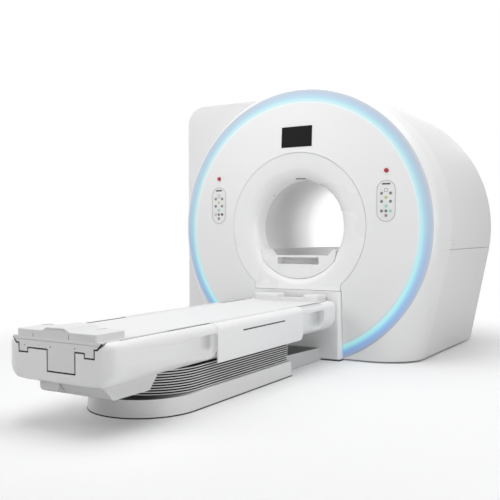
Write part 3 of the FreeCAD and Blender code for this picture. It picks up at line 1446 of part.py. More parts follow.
def make_tabletop():
    body = doc.addObject("PartDesign::Body", "tabletop")
    rim = "rim_height"
    half = "rim_inner_half_width - table_gap"
    right = [
        ("table_runner_inner", rim + " - table_core_drop"),
        ("table_runner_inner", rim + " - table_runner_drop"),
        ("table_runner_outer", rim + " - table_runner_drop"),
        ("table_runner_outer", rim + " - table_side_drop"),
        ("table_wing_half_width", rim + " - table_side_drop"),
        (half, rim + " - table_chamfer_start"),
        (half, rim),
    ]
    left = [("-(%s)" % across, up) for across, up in reversed(right)]
    section = corner_sketch(body, "table_section", "XZ_Plane", "-" + COUCH_FOOT, right + left)
    pad(body, "table_pad", section, "couch_length - table_head_gap", backwards=True)
    keel_section = corner_sketch(body, "keel_section", "XZ_Plane", "-" + COUCH_FOOT, [
        ("-keel_left", rim + " - keel_drop"),
        ("keel_right", rim + " - keel_drop"),
        ("keel_right", rim + " - table_core_drop"),
        ("-keel_left", rim + " - table_core_drop"),
    ])
    pad(body, "keel_pad", keel_section, "keel_length", backwards=True)
    seam = corner_sketch(body, "foot_seam", "XZ_Plane", "-" + COUCH_FOOT, [
        ("-rim_inner_half_width", rim + " - seam_drop"),
        ("rim_inner_half_width", rim + " - seam_drop"),
        ("rim_inner_half_width", rim + " - seam_drop + seam_height"),
        ("-rim_inner_half_width", rim + " - seam_drop + seam_height"),
    ])
    pocket(body, "foot_seam_groove", seam, "seam_depth")
    dish = dish_sketch(body)
    pocket(body, "dish", dish, "couch_length - cap_block_length - table_head_gap - dock_depth")
    keep(body, "tabletop")


def make_foot_block():
    """Raised block at the foot end of the tabletop, with a low hump in its middle."""
    body = doc.addObject("PartDesign::Body", "foot_block")
    rim = "rim_height"
    section = corner_sketch(body, "foot_block_section", "XZ_Plane", "-" + COUCH_FOOT, [
        ("-cap_block_half_width", rim),
        ("cap_block_half_width", rim),
        ("cap_block_half_width", rim + " + cap_block_height"),
        ("cap_hump_foot_half_width", rim + " + cap_block_height"),
        ("cap_hump_half_width", rim + " + cap_hump_height"),
        ("-cap_hump_half_width", rim + " + cap_hump_height"),
        ("-cap_hump_foot_half_width", rim + " + cap_block_height"),
        ("-cap_block_half_width", rim + " + cap_block_height"),
    ])
    solid = pad(body, "foot_block_pad", section, "cap_block_length", backwards=True)
    half = size("cap_block_half_width")
    corners = round_edges(body, "foot_block_corners", solid, "dock_edge_radius",
                          lambda middle, along: abs(abs(middle.x) - half) < 1 and abs(along.z) > 0.9)
    low = size("rim_height + cap_block_height / 2")
    front = size(COUCH_FOOT)
    hump = size("cap_hump_foot_half_width")
    round_edges(body, "foot_block_edges", corners, "block_edge_radius",
                lambda middle, along: middle.z > low and (abs(middle.y - front) < half / 2
                                                          or abs(middle.x) > hump))
    recess_y = COUCH_FOOT + " + recess_setback"
    circles = circle_sketch(body, "recess_circles", "XY_Plane", "rim_height + cap_block_height",
                            "recess_radius", [("-recess_left", recess_y), ("recess_right", recess_y)])
    pocket(body, "recesses", circles, "recess_depth")
    keep(body, "foot_block")


def make_coil_dock():
    """Block across the head end of the tabletop, higher on its left and right."""
    body = doc.addObject("PartDesign::Body", "coil_dock")
    rim = "rim_height"
    section = corner_sketch(body, "dock_section", "XZ_Plane", "-(%s - dock_depth)" % TABLE_HEAD, [
        ("-dock_left_outer", rim),
        ("dock_right_outer", rim),
        ("dock_right_outer", rim + " + dock_block_height"),
        ("dock_right_inner", rim + " + dock_block_height"),
        ("dock_right_inner", rim + " + dock_bar_height"),
        ("-dock_left_inner", rim + " + dock_bar_height"),
        ("-dock_left_inner", rim + " + dock_block_height"),
        ("-dock_left_outer", rim + " + dock_block_height"),
    ])
    solid = pad(body, "dock_pad", section, "dock_depth", backwards=True)
    low = size("rim_height + dock_bar_height") + NEAR
    round_edges(body, "dock_edges", solid, "dock_edge_radius",
                lambda middle, along: middle.z > low)
    keep(body, "coil_dock")


# ---------------------------------------------------------------------------------------------
# Build, check and export
# ---------------------------------------------------------------------------------------------

make_gantry_covers()
make_service_block()
make_front()
make_buttons()
make_light_ring()
make_bore()
make_column_cover()
make_magnet()
make_couch_base()
make_lift()
make_bellows()
make_couch_body()
make_foot_pan()
make_couch_frame()
make_tabletop()
make_foot_block()
make_coil_dock()
doc.recompute()

for thing in doc.Objects:
    if "Invalid" in thing.State or "Error" in thing.State:
        raise RuntimeError("%s failed: %s" % (thing.Label, thing.State))

os.makedirs(PARTS_FOLDER, exist_ok=True)
for thing in NODES:
    shape = thing.Shape
    if shape.isNull() or not shape.isValid():
        raise RuntimeError(thing.Label + " has no valid shape")
    if len(shape.Solids) != 1:
        raise RuntimeError("%s has %d solids" % (thing.Label, len(shape.Solids)))
for thing in NODES:
    thing.Shape.exportStep(os.path.join(PARTS_FOLDER, thing.Label + ".step"))

rise = size(BED_TOP) + size("glide_gap") - (size("rim_height") - size("table_side_drop"))
print("nodes", len(NODES))
print("couch rise that lines the tabletop up with the bridge", round(rise, 1), "mm")
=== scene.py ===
# A whole-body MRI scanner in its white covers, with the patient couch drawn out in front of it.
# Metres, +Z up, +Y from the foot of the couch towards the back of the gantry. The order below
# is the order of assembly: gantry covers, bore, magnet, controls, couch base, lift, couch.
import math

import bmesh
import bpy
from mathutils import Matrix, Vector
from mathutils.bvhtree import BVHTree


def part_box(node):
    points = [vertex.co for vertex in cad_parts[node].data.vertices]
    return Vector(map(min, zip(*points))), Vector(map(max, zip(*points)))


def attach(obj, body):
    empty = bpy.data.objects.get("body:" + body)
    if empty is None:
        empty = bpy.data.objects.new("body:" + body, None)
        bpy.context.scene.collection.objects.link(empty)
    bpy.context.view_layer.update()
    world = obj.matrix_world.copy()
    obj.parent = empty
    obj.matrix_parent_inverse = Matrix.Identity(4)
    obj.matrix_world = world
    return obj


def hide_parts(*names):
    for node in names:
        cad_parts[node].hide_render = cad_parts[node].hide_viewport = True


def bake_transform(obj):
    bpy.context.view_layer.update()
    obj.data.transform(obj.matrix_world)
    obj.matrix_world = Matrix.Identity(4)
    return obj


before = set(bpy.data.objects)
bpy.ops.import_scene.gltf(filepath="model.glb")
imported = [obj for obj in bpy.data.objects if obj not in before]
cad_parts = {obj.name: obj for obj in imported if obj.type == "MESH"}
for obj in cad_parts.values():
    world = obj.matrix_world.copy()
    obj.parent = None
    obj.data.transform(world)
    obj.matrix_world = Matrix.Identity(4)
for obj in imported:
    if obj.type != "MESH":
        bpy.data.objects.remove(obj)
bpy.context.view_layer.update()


# ---------------------------------------------------------------------------------------------
# Camera. It stands low and to the right of the couch's foot end, as the photograph's camera
# does, with the bore a little above the horizon and the couch running towards the lens.
# ---------------------------------------------------------------------------------------------
camera_data = bpy.data.cameras.new("camera")
camera_data.lens = 51.565
camera_data.sensor_width = 36.0
camera_data.clip_end = 200.0
camera = bpy.data.objects.new("camera", camera_data)
bpy.context.scene.collection.objects.link(camera)
camera_place = Vector((2.496, -5.615, 0.922))
camera_yaw = math.radians(31.007)
camera_pitch = math.radians(1.150)
camera_roll = math.radians(-0.213)
sight = Vector((-math.sin(camera_yaw) * math.cos(camera_pitch),
                math.cos(camera_yaw) * math.cos(camera_pitch),
                -math.sin(camera_pitch)))
level_right = Vector((math.cos(camera_yaw), math.sin(camera_yaw), 0.0))
level_up = level_right.cross(sight)
camera_right = math.cos(camera_roll) * level_right + math.sin(camera_roll) * level_up
camera_up = -math.sin(camera_roll) * level_right + math.cos(camera_roll) * level_up
camera_turn = Matrix((camera_right, camera_up, -sight)).transposed()
camera.matrix_world = Matrix.Translation(camera_place) @ camera_turn.to_4x4()
bpy.context.scene.camera = camera


# ---------------------------------------------------------------------------------------------
# Front cover, front collar and column cover. The front cover is a slightly crowned disc moulded
# in fibre glass reinforced plastic and painted white, hung on the magnet by clips round its
# edge. The collar round it and the column under the bore are painted with it.
# ---------------------------------------------------------------------------------------------
def linear(code):
    """sRGB hex code to the linear colour that a shader takes."""
    channels = [int(code[place:place + 2], 16) / 255 for place in (1, 3, 5)]
    return tuple(value / 12.92 if value <= 0.04045 else ((value + 0.055) / 1.055) ** 2.4
                 for value in channels) + (1.0,)


def add_node(material, kind, settings=None, inputs=None, links=None, stops=()):
    """One node: settings are its properties, inputs its values, links its sockets' sources,
    and stops the (position, sRGB hex) pairs of a colour ramp."""
    tree = material.node_tree
    node = tree.nodes.new(kind)
    for name, value in (settings or {}).items():
        setattr(node, name, value)
    for name, value in (inputs or {}).items():
        node.inputs[name].default_value = value
    for name, source in (links or {}).items():
        tree.links.new(source, node.inputs[name])
    if stops:
        elements = node.color_ramp.elements
        for element, (place, code) in zip(elements, (stops[0], stops[-1])):
            element.position, element.color = place, linear(code)
        for place, code in stops[1:-1]:
            elements.new(place).color = linear(code)
    return node


def new_finish(name):
    """An empty material; returns it with its surface socket and its object coordinates."""
    material = bpy.data.materials.new(name)
    material.use_nodes = True
    material.node_tree.nodes.clear()
    surface = add_node(material, "ShaderNodeOutputMaterial").inputs["Surface"]
    coords = add_node(material, "ShaderNodeTexCoord").outputs["Object"]
    return material, surface, coords


def moulded_finish(name, pale, deep, roughness, grain_mm, relief_mm, patch_mm=700):
    """Moulded or painted plastic: two close tones in broad patches, and a fine surface grain.
    The grain is drawn coarser than the real orange peel so that it shows in a highlight."""
    material, surface, coords = new_finish(name)
    patches = add_node(material, "ShaderNodeTexNoise",
                       inputs={"Scale": 1000 / patch_mm, "Detail": 3.0, "Roughness": 0.5},
                       links={"Vector": coords})
    colour = add_node(material, "ShaderNodeValToRGB", links={"Fac": patches.outputs["Fac"]},
                      stops=[(0.2, deep), (0.8, pale)])
    grain = add_node(material, "ShaderNodeTexNoise",
                     inputs={"Scale": 1000 / grain_mm, "Detail": 2.0, "Roughness": 0.6},
                     links={"Vector": coords})
    sheen_range = add_node(material, "ShaderNodeMapRange",
                           inputs={"From Min": 0.2, "From Max": 0.8,
                                   "To Min": roughness - 0.04, "To Max": roughness + 0.04},
                           links={"Value": patches.outputs["Fac"]})
    bump = add_node(material, "ShaderNodeBump",
                    inputs={"Strength": 1.0, "Distance": relief_mm / 1000},
                    links={"Height": grain.outputs["Fac"]})
    shader = add_node(material, "ShaderNodeBsdfPrincipled",
                      inputs={"IOR": 1.5},
                      links={"Base Color": colour.outputs["Color"],
                             "Roughness": sheen_range.outputs["Result"],
                             "Normal": bump.outputs["Normal"]})
    material.node_tree.links.new(shader.outputs["BSDF"], surface)
    return material


SMOOTH_ANGLE = math.radians(32)


def split_edges(piece):
    """Keep edges sharper than the smooth angle crisp."""
    split = piece.modifiers.new("edges", "EDGE_SPLIT")
    split.split_angle = SMOOTH_ANGLE


def dress(node, material):
    """A CAD node takes its material, and its curved faces are shaded as one smooth surface."""
    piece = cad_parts[node]
    piece.data.materials.clear()
    piece.data.materials.append(material)
    piece.data.polygons.foreach_set("use_smooth", [True] * len(piece.data.polygons))
    weld = piece.modifiers.new("weld", "WELD")
    weld.merge_threshold = 0.00001
    split_edges(piece)


# painted fibre glass: an even, soft gloss white
front_paint = moulded_finish("painted_fibreglass_front", "#f1f1f1", "#efefef", 0.34, 3.5, 0.02)
dress("front_cover", front_paint)
dress("column_cover", front_paint)
dress("front_collar", front_paint)


# ---------------------------------------------------------------------------------------------
# Side, wrap and service covers. Large thermoformed sheets over the magnet, painted in a
# satin white, butted at narrow seams and screwed from the inside to the magnet's frame.
# ---------------------------------------------------------------------------------------------
# satin paint over thermoformed sheet: a little rougher and greyer than the front
side_paint = moulded_finish("satin_paint_side_covers", "#ededed", "#ebebeb", 0.42, 4.5, 0.03)
for node in ("upper_wrap_cover", "right_side_cover", "left_side_cover",
             "service_upper_cover", "service_lower_cover"):
    dress(node, side_paint)


# ---------------------------------------------------------------------------------------------
# Light ring. A curved light guide of translucent acrylic behind which strips of light diodes
# shine: nearly white at its inner edge, sky blue in the middle and greyer at its outer edge,
# and a deeper blue low down. It is pressed into a channel round the front cover.
# ---------------------------------------------------------------------------------------------
BORE_HEIGHT = 0.988
RING_INNER = 0.937
RING_OUTER = 1.040
# heights over the bore's axis at which the lower and the upper tones are full
LOWER_TONES = -1.0
UPPER_TONES = 0.35

# colours across the ring from its inner to its outer edge, high up and low down
UPPER_STOPS = [(0.03, "#d8e5e7"), (0.13, "#c2dade"), (0.27, "#b1d6dd"), (0.42, "#a6c8d5"),
               (0.56, "#a6c1d2"), (0.71, "#a8bacb"), (0.85, "#afbac7"), (0.95, "#b9c0c9")]
LOWER_STOPS = [(0.03, "#bacdd2"), (0.13, "#bfe5e6"), (0.27, "#b0f0f6"), (0.42, "#9ad8ef"),
               (0.56, "#8fbde6"), (0.71, "#8fb1de"), (0.85, "#9eb4d9"), (0.95, "#a8b5cd")]


def light_guide_finish():
    """Lit acrylic: the colour follows the distance from the bore axis and the height."""
    material, surface, coords = new_finish("lit_acrylic_light_guide")
    parts = add_node(material, "ShaderNodeSeparateXYZ", links={"Vector": coords})
    rise = add_node(material, "ShaderNodeMath", {"operation": "SUBTRACT"},
                    {1: BORE_HEIGHT}, {0: parts.outputs["Z"]})
    flat = add_node(material, "ShaderNodeCombineXYZ",
                    links={"X": parts.outputs["X"], "Z": rise.outputs["Value"]})
    radius = add_node(material, "ShaderNodeVectorMath", {"operation": "LENGTH"},
                      links={0: flat.outputs["Vector"]})
    across = add_node(material, "ShaderNodeMapRange",
                      inputs={"From Min": RING_INNER, "From Max": RING_OUTER},
                      links={"Value": radius.outputs["Value"]})
    upper = add_node(material, "ShaderNodeValToRGB", links={"Fac": across.outputs["Result"]},
                     stops=UPPER_STOPS)
    lower = add_node(material, "ShaderNodeValToRGB", links={"Fac": across.outputs["Result"]},
                     stops=LOWER_STOPS)
    height = add_node(material, "ShaderNodeMapRange", {"interpolation_type": "SMOOTHSTEP"},
                      {"From Min": LOWER_TONES, "From Max": UPPER_TONES},
                      {"Value": rise.outputs["Value"]})
    speckle = add_node(material, "ShaderNodeTexNoise",
                       inputs={"Scale": 1000 / 60, "Detail": 1.0},
                       links={"Vector": coords})
    wander = add_node(material, "ShaderNodeMath", {"operation": "MULTIPLY_ADD"},
                      {1: 0.10, 2: -0.05}, {0: speckle.outputs["Fac"]})
    share = add_node(material, "ShaderNodeMath", {"operation": "ADD", "use_clamp": True},
                     links={0: height.outputs["Result"], 1: wander.outputs["Value"]})
    colour = add_node(material, "ShaderNodeMix", {"data_type": "RGBA"},
                      links={"Factor": share.outputs["Value"],
                             "A": lower.outputs["Color"], "B": upper.outputs["Color"]})
    glow_colour = colour.outputs["Result"]
    shader = add_node(material, "ShaderNodeBsdfPrincipled",
                      inputs={"IOR": 1.49, "Roughness": 0.3, "Emission Strength": 0.25},
                      links={"Base Color": glow_colour, "Emission Color": glow_colour})
    material.node_tree.links.new(shader.outputs["BSDF"], surface)
    return material


dress("light_ring", light_guide_finish())


# ---------------------------------------------------------------------------------------------
# Bore funnel, liner, rear cover and patient bridge. The funnel is gel-coated fibre glass,
# polished; the liner a glass-fibre tube with a satin inside; the bridge a moulding on which
# the tabletop runs, closed in front by a cap with a slot. Windows and marks are set in.
# ---------------------------------------------------------------------------------------------
# gelcoat: the smoothest and whitest of the covers
funnel_gelcoat = moulded_finish("polished_gelcoat_funnel", "#f3f3f3", "#f1f1f1", 0.28, 3.0, 0.01)
dress("funnel_cover", funnel_gelcoat)


def make_piece(name, mesh, finish):
    """A scene object with its finish from a bmesh, which is freed."""
    data = bpy.data.meshes.new(name)
    mesh.to_mesh(data)
    mesh.free()
    data.materials.append(finish)
    piece = bpy.data.objects.new(name, data)
    bpy.context.scene.collection.objects.link(piece)
    return piece


def verts_of(geometry):
    """The vertices among what an operator returned."""
    return [item for item in geometry if isinstance(item, bmesh.types.BMVert)]


# a plate's faces over and under the CAD surface, how far off the surface is looked for, the
# outward Z from which a plate counts as lying, and a frame's finer edges
PROUD = 0.0001
SUNK = 0.0008
CAST_REACH = 0.2
LYING = 0.9
LONGEST_EDGE = 0.020
EDGE_CUTS = 12
CORNER_STEPS = 6


def thin_plate(name, node, centre, width, height, corner, finish, facing=(0, -1, 0), line=None):
    """Rounded plate or frame laid on a CAD node, with its face turned to facing; sizes in mm."""
    target = bmesh.new()
    target.from_mesh(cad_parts[node].data)
    surface = BVHTree.FromBMesh(target)
    target.free()
    outward = Vector(facing).normalized()
    upright = Vector((0, 1, 0)) if abs(outward.z) > LYING else Vector((0, 0, 1))
    sideways = upright.cross(outward).normalized()
    upright = outward.cross(sideways)
    turn = Matrix((sideways, upright, outward)).transposed().to_4x4()
    mesh = bmesh.new()
    bmesh.ops.create_grid(mesh, x_segments=1, y_segments=1, size=0.5)
    bmesh.ops.scale(mesh, vec=(width / 1000, height / 1000, 1.0), verts=mesh.verts)
    bmesh.ops.bevel(mesh, geom=mesh.verts[:], offset=corner / 1000, offset_type="OFFSET",
                    affect="VERTICES", segments=CORNER_STEPS, profile=0.5, material=-1)
    if line:
        bmesh.ops.inset_region(mesh, faces=mesh.faces[:], thickness=line / 1000,
                               use_boundary=True, use_even_offset=True)
        middle = max(mesh.faces, key=lambda face: len(face.verts))
        bmesh.ops.delete(mesh, geom=[middle], context="FACES_ONLY")
        bmesh.ops.subdivide_edges(mesh, edges=[edge for edge in mesh.edges
                                               if edge.calc_length() > LONGEST_EDGE],
                                  cuts=EDGE_CUTS, use_grid_fill=True)
    bmesh.ops.transform(mesh, matrix=Matrix.Translation(centre) @ turn, verts=mesh.verts)
    for vert in mesh.verts:
        hit = surface.ray_cast(vert.co + outward * CAST_REACH, -outward)[0]
        if hit is not None:
            vert.co = hit + outward * PROUD
    grown = bmesh.ops.extrude_face_region(mesh, geom=mesh.faces[:], use_keep_orig=True)["geom"]
    bmesh.ops.translate(mesh, vec=-outward * (PROUD + SUNK), verts=verts_of(grown))
    bmesh.ops.recalc_face_normals(mesh, faces=mesh.faces[:])
    return make_piece(name, mesh, finish)


# smoked acrylic of the small camera and sensor windows in the funnel
window_acrylic = moulded_finish("smoked_acrylic_windows", "#565656", "#4e4e4e", 0.3, 2.0, 0.01, 40)
camera_window = thin_plate("bore_camera_window", "funnel_cover", (0.0135, -0.7257, 1.3537),
                           90, 12, 5, window_acrylic, facing=(0.0, -0.487, -0.873))
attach(camera_window, "scanner")
sensor_window = thin_plate("bore_sensor_window", "funnel_cover", (-0.2515, -0.6686, 1.2384),
                           11, 11, 4, window_acrylic, facing=(0.699, 0.0, -0.715))
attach(sensor_window, "scanner")


# painted light by depth in the bore, from the funnel to the rear cover, and the radii at which the
# rear cover's lip is dark and glows with painted light
LINER_FRONT = -0.63
LINER_BACK = 0.67
LIP_DARK = 0.372
LIP_LIT = 0.362
LINER_GLOW = [(0.0, "#222222"), (0.115, "#222222"), (0.254, "#404040"), (0.331, "#535353"),
              (0.408, "#707070"), (0.485, "#898989"), (0.562, "#9a9a9a"), (0.638, "#bababa"),
              (0.831, "#d2d2d2"), (1.0, "#e0e0e0")]


def lit_liner_finish():
    """Satin resin tube that glows more and more towards its rear: painted light for the light in
    the bore.
    """
    material, surface, coords = new_finish("lit_satin_resin_liner")
    parts = add_node(material, "ShaderNodeSeparateXYZ", links={"Vector": coords})
    depth = add_node(material, "ShaderNodeMapRange",
                     inputs={"From Min": LINER_FRONT, "From Max": LINER_BACK},
                     links={"Value": parts.outputs["Y"]})
    glow = add_node(material, "ShaderNodeValToRGB", links={"Fac": depth.outputs["Result"]},
                    stops=LINER_GLOW)
    cloud = add_node(material, "ShaderNodeTexNoise",
                     inputs={"Scale": 1000 / 300, "Detail": 2.0},
                     links={"Vector": coords})
    colour = add_node(material, "ShaderNodeValToRGB", links={"Fac": cloud.outputs["Fac"]},
                      stops=[(0.2, "#d2d2d2"), (0.8, "#d6d6d6")])
    bump = add_node(material, "ShaderNodeBump", inputs={"Strength": 1.0, "Distance": 0.00002},
                    links={"Height": cloud.outputs["Fac"]})
    shader = add_node(material, "ShaderNodeBsdfPrincipled",
                      inputs={"IOR": 1.5, "Roughness": 0.45, "Emission Strength": 1.0},
                      links={"Base Color": colour.outputs["Color"],
                             "Emission Color": glow.outputs["Color"],
                             "Normal": bump.outputs["Normal"]})
    material.node_tree.links.new(shader.outputs["BSDF"], surface)
    return material


dress("bore_liner", lit_liner_finish())


def tint(material, share, code):
    """Turn the finish's colour to the code where the share is one."""
    shader = next(node for node in material.node_tree.nodes if node.type == "BSDF_PRINCIPLED")
    source = shader.inputs["Base Color"].links[0].from_socket
    colour = add_node(material, "ShaderNodeMix", {"data_type": "RGBA"}, {"B": linear(code)},
                      {"Factor": share, "A": source})
    material.node_tree.links.new(colour.outputs["Result"], shader.inputs["Base Color"])


def lit_lip_finish():
    """The rear cover's satin paint; the lip of its opening glows with painted light, as from the
    liner.
    """
    material = moulded_finish("satin_paint_rear_cover", "#ededed", "#ebebeb", 0.42, 4.5, 0.03)
    shader = next(node for node in material.node_tree.nodes if node.type == "BSDF_PRINCIPLED")
    coords = add_node(material, "ShaderNodeTexCoord").outputs["Object"]
    centred = add_node(material, "ShaderNodeMapping",
                       inputs={"Location": (0.0, 0.0, -BORE_HEIGHT), "Scale": (1.0, 0.0, 1.0)},
                       links={"Vector": coords})
    radius = add_node(material, "ShaderNodeVectorMath", {"operation": "LENGTH"},
                      links={0: centred.outputs["Vector"]})
    lip = add_node(material, "ShaderNodeMapRange",
                   inputs={"From Min": LIP_DARK, "From Max": LIP_LIT},
                   links={"Value": radius.outputs["Value"]})
    glow = add_node(material, "ShaderNodeValToRGB", links={"Fac": lip.outputs["Result"]},
                    stops=[(0.0, "#000000"), (1.0, "#dedede")])
    material.node_tree.links.new(glow.outputs["Color"], shader.inputs["Emission Color"])
    shader.inputs["Emission Strength"].default_value = 1.0
    return material


dress("rear_cover", lit_lip_finish())
# moulded polycarbonate of the bridge: satin, with the moulding's fine texture
bridge_plastic = moulded_finish("moulded_polycarbonate_bridge", "#f2f2f2", "#f0f0f0", 0.40, 2.0,
                                0.03)
dress("bridge_cap", bridge_plastic)
# the bed is drawn in a darker and duller grey than the cap
bed_plastic = moulded_finish("grey_moulded_bed", "#c2c2c2", "#bebebe", 0.50, 2.0, 0.03)
dress("bridge_bed", bed_plastic)


# printed mark low on the column, and the plugs over three screws of the side covers
column_mark = thin_plate("column_mark", "column_cover", (0.2657, -0.810, 0.456), 4, 24, 1,
                         window_acrylic)
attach(column_mark, "scanner")
plug_plastic = moulded_finish("grey_plastic_plugs", "#9c9c9c", "#969696", 0.5, 1.0, 0.01, 30)
for name, node, centre, facing in (
        ("upper", "upper_wrap_cover", (1.0762, -0.3875, 0.8818), (0.995, -0.018, -0.094)),
        ("middle", "upper_wrap_cover", (1.0736, -0.3562, 0.8530), (0.990, -0.018, -0.137)),
        ("lower", "right_side_cover", (1.0641, -0.3769, 0.7926), (0.985, -0.017, -0.171))):
    plug = thin_plate("screw_plug_" + name, node, centre, 10, 10, 4.9, plug_plastic, facing=facing)
    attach(plug, "scanner")


# ---------------------------------------------------------------------------------------------
# Magnet, hidden by the covers. A welded and painted steel cryostat on two painted steel feet,
# with the gradient coil cast in yellowish resin and the body coil on a glass-fibre tube.
# ---------------------------------------------------------------------------------------------
# painted steel: slight mottle from the spray gun
vessel_paint = moulded_finish("sprayed_paint_cryostat", "#d8d8d8", "#d2d2d2", 0.45, 5.0, 0.05)
foot_paint = moulded_finish("sprayed_paint_steel_feet", "#5f6164", "#57595c", 0.50, 4.0, 0.05)
# cast epoxy: amber, cloudy, with flow marks
coil_resin = moulded_finish("cast_epoxy_coils", "#b3a678", "#9c8f63", 0.35, 12.0, 0.10, 180)
dress("magnet_vessel", vessel_paint)
dress("gradient_coil", coil_resin)
dress("body_coil", coil_resin)
for node in ("magnet_foot_front", "magnet_foot_rear", "couch_base_plate"):
    dress(node, foot_paint)


# ---------------------------------------------------------------------------------------------
# Display and control panels. The display is a sheet of black glass over a dark screen; each
# control panel is a white printed membrane foil with moulded silicone keys, and a red stop
# button stands alone above it.
# ---------------------------------------------------------------------------------------------
def display_glass_finish():
    """Black glass: a deep neutral black with little reflection and faint smears in its gloss."""
    material, surface, coords = new_finish("black_display_glass")
    smears = add_node(material, "ShaderNodeTexNoise",
                      inputs={"Scale": 1000 / 90, "Detail": 4.0, "Distortion": 1.5},
                      links={"Vector": coords})
    colour = add_node(material, "ShaderNodeValToRGB", links={"Fac": smears.outputs["Fac"]},
                      stops=[(0.3, "#050506"), (0.7, "#0a0a0b")])
    gloss = add_node(material, "ShaderNodeMapRange",
                     inputs={"From Min": 0.3, "From Max": 0.7, "To Min": 0.15, "To Max": 0.22},
                     links={"Value": smears.outputs["Fac"]})
    shader = add_node(material, "ShaderNodeBsdfPrincipled",
                      inputs={"IOR": 1.52, "Specular IOR Level": 0.06},
                      links={"Base Color": colour.outputs["Color"],
                             "Roughness": gloss.outputs["Result"]})
    material.node_tree.links.new(shader.outputs["BSDF"], surface)
    return material


dress("display_screen", display_glass_finish())
# printed membrane foil: white as the cover, finely textured against glare
panel_foil = moulded_finish("membrane_foil_panel", "#ececec", "#e9e9e9", 0.45, 1.2, 0.02, 120)
dress("control_panel_right", panel_foil)
dress("control_panel_left", panel_foil)

KEY_TONES = {
    "grey": ("#828282", "#7a7a7a"), "dark": ("#565656", "#4e4e4e"),
    "faint": ("#c6c6c6", "#c0c0c0"), "brown": ("#948a8a", "#8c8282"),
    "yellow": ("#cdcb86", "#c5c37c"), "green": ("#9fdcc2", "#94d6ba"),
}
# moulded silicone keys: matt, each in its own pigment
key_finishes = {tone: moulded_finish("silicone_key_" + tone, pale, deep, 0.55, 1.0, 0.02, 8)
                for tone, (pale, deep) in KEY_TONES.items()}
for side in ("left", "right"):
    for key, tone in (("table_up", "grey"), ("table_down", "grey"), ("lamp", "yellow"),
                      ("table_in", "grey"), ("table_out", "grey"), ("centre", "green"),
                      ("fan", "grey"), ("reset", "grey"), ("release", "brown")):
        dress("button_%s_%s" % (key, side), key_finishes[tone])
dress("button_fan_left", key_finishes["faint"])
dress("button_home_right", key_finishes["green"])
dress("button_home_left", key_finishes["dark"])
# polished red plastic of the stop buttons
stop_plastic = moulded_finish("polished_red_plastic_stop", "#b01c28", "#a21722", 0.22, 2.0, 0.01,
                              12)
dress("stop_button_right", stop_plastic)
dress("stop_button_left", stop_plastic)

# printed lines and fields of the foils
print_grey = moulded_finish("printed_grey_line", "#9e9e9e", "#989898", 0.45, 1.2, 0.01, 30)
print_dark = moulded_finish("printed_dark_field", "#5c5c5c", "#545454", 0.45, 1.2, 0.01, 30)
for side in ("left", "right"):
    panel = "control_panel_" + side
    low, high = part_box(panel)
    middle = (low + high) / 2
    width, height = (high.x - low.x) * 1000, (high.z - low.z) * 1000
    for name, rise, wide, tall, corner, finish, line in (
            ("panel_border_", 0, width - 7, height - 7, width / 2 - 5, print_grey, 3.4),
            ("panel_field_", 121, 62, 13, 5, print_dark, None),
            ("panel_mark_", 76, 27, 27, 8, print_grey, 4)):
        mark = thin_plate(name + side, panel, middle + Vector((0, 0, rise / 1000)),
                          wide, tall, corner, finish, line=line)
        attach(mark, "scanner")


# ---------------------------------------------------------------------------------------------
# Couch base. A painted steel-sheet cover over the anchored floor plate, rounded at the foot end,
# and a narrower wedge that hides the cables between it and the gantry. Black beads along the foot
# of the base and the gantry's column are painted shade in the gap over the floor.
# ---------------------------------------------------------------------------------------------
def dark_strip(name, points, sweep, thickness, finish):
    """Dark strip, painted shade in a gap: a line through the points, swept to its full depth and
    thickened.
    """
    mesh = bmesh.new()
    verts = [mesh.verts.new(point) for point in points]
    edges = [mesh.edges.new(pair) for pair in zip(verts, verts[1:])]
    grown = bmesh.ops.extrude_edge_only(mesh, edges=edges)["geom"]
    bmesh.ops.translate(mesh, vec=sweep, verts=verts_of(grown))
    bmesh.ops.recalc_face_normals(mesh, faces=mesh.faces[:])
    piece = make_piece(name, mesh, finish)
    wall = piece.modifiers.new("wall", "SOLIDIFY")
    wall.thickness = thickness
    wall.offset = 0.0
    wall.use_even_offset = True
    return piece


# matt black with a fine talc bloom: rubber in the rails' slots and the pan's seam, and painted
# shade in the floor beads and the gap strips round the tabletop's foot end
black_rubber_and_shade = moulded_finish("black_rubber_and_painted_shade", "#141414", "#0d0d0d", 0.7, 1.5, 0.03, 40)
# the floor beads, painted shade under the base and the column: their gap over the floor, wall,
# sweep up, steps round the foot end and back end
BEAD_LOW = 0.0005
BEAD_THICKNESS = 0.003
BEAD_SWEEP = (0.0, 0.0, 0.006)
BEND_STEPS = 24
COLUMN_BEAD_BACK = -0.74
base_low, base_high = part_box("couch_base_cover")
base_half = base_high.x
bend_centre = base_low.y + base_half
base_line = [Vector((-base_half, base_high.y, BEAD_LOW))]
for step in range(BEND_STEPS + 1):
    angle = math.pi * (1 + step / BEND_STEPS)
    base_line.append(Vector((base_half * math.cos(angle),
                             bend_centre + base_half * math.sin(angle), BEAD_LOW)))
base_line.append(Vector((base_half, base_high.y, BEAD_LOW)))
base_shadow_bead = dark_strip("couch_base_shadow_bead", base_line, BEAD_SWEEP, BEAD_THICKNESS,
                          black_rubber_and_shade)
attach(base_shadow_bead, "scanner")
column_low, column_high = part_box("column_cover")
column_line = [Vector((side * column_high.x, depth, BEAD_LOW))
               for side, depth in ((-1, COLUMN_BEAD_BACK), (-1, column_low.y),
                                   (1, column_low.y), (1, COLUMN_BEAD_BACK))]
column_shadow_bead = dark_strip("column_shadow_bead", column_line, BEAD_SWEEP, BEAD_THICKNESS,
                           black_rubber_and_shade)
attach(column_shadow_bead, "scanner")
# powder coat: satin, with the powder's fine orange peel
base_coat = moulded_finish("powder_coat_couch_base", "#e6e6e6", "#e3e3e3", 0.45, 2.5, 0.04)
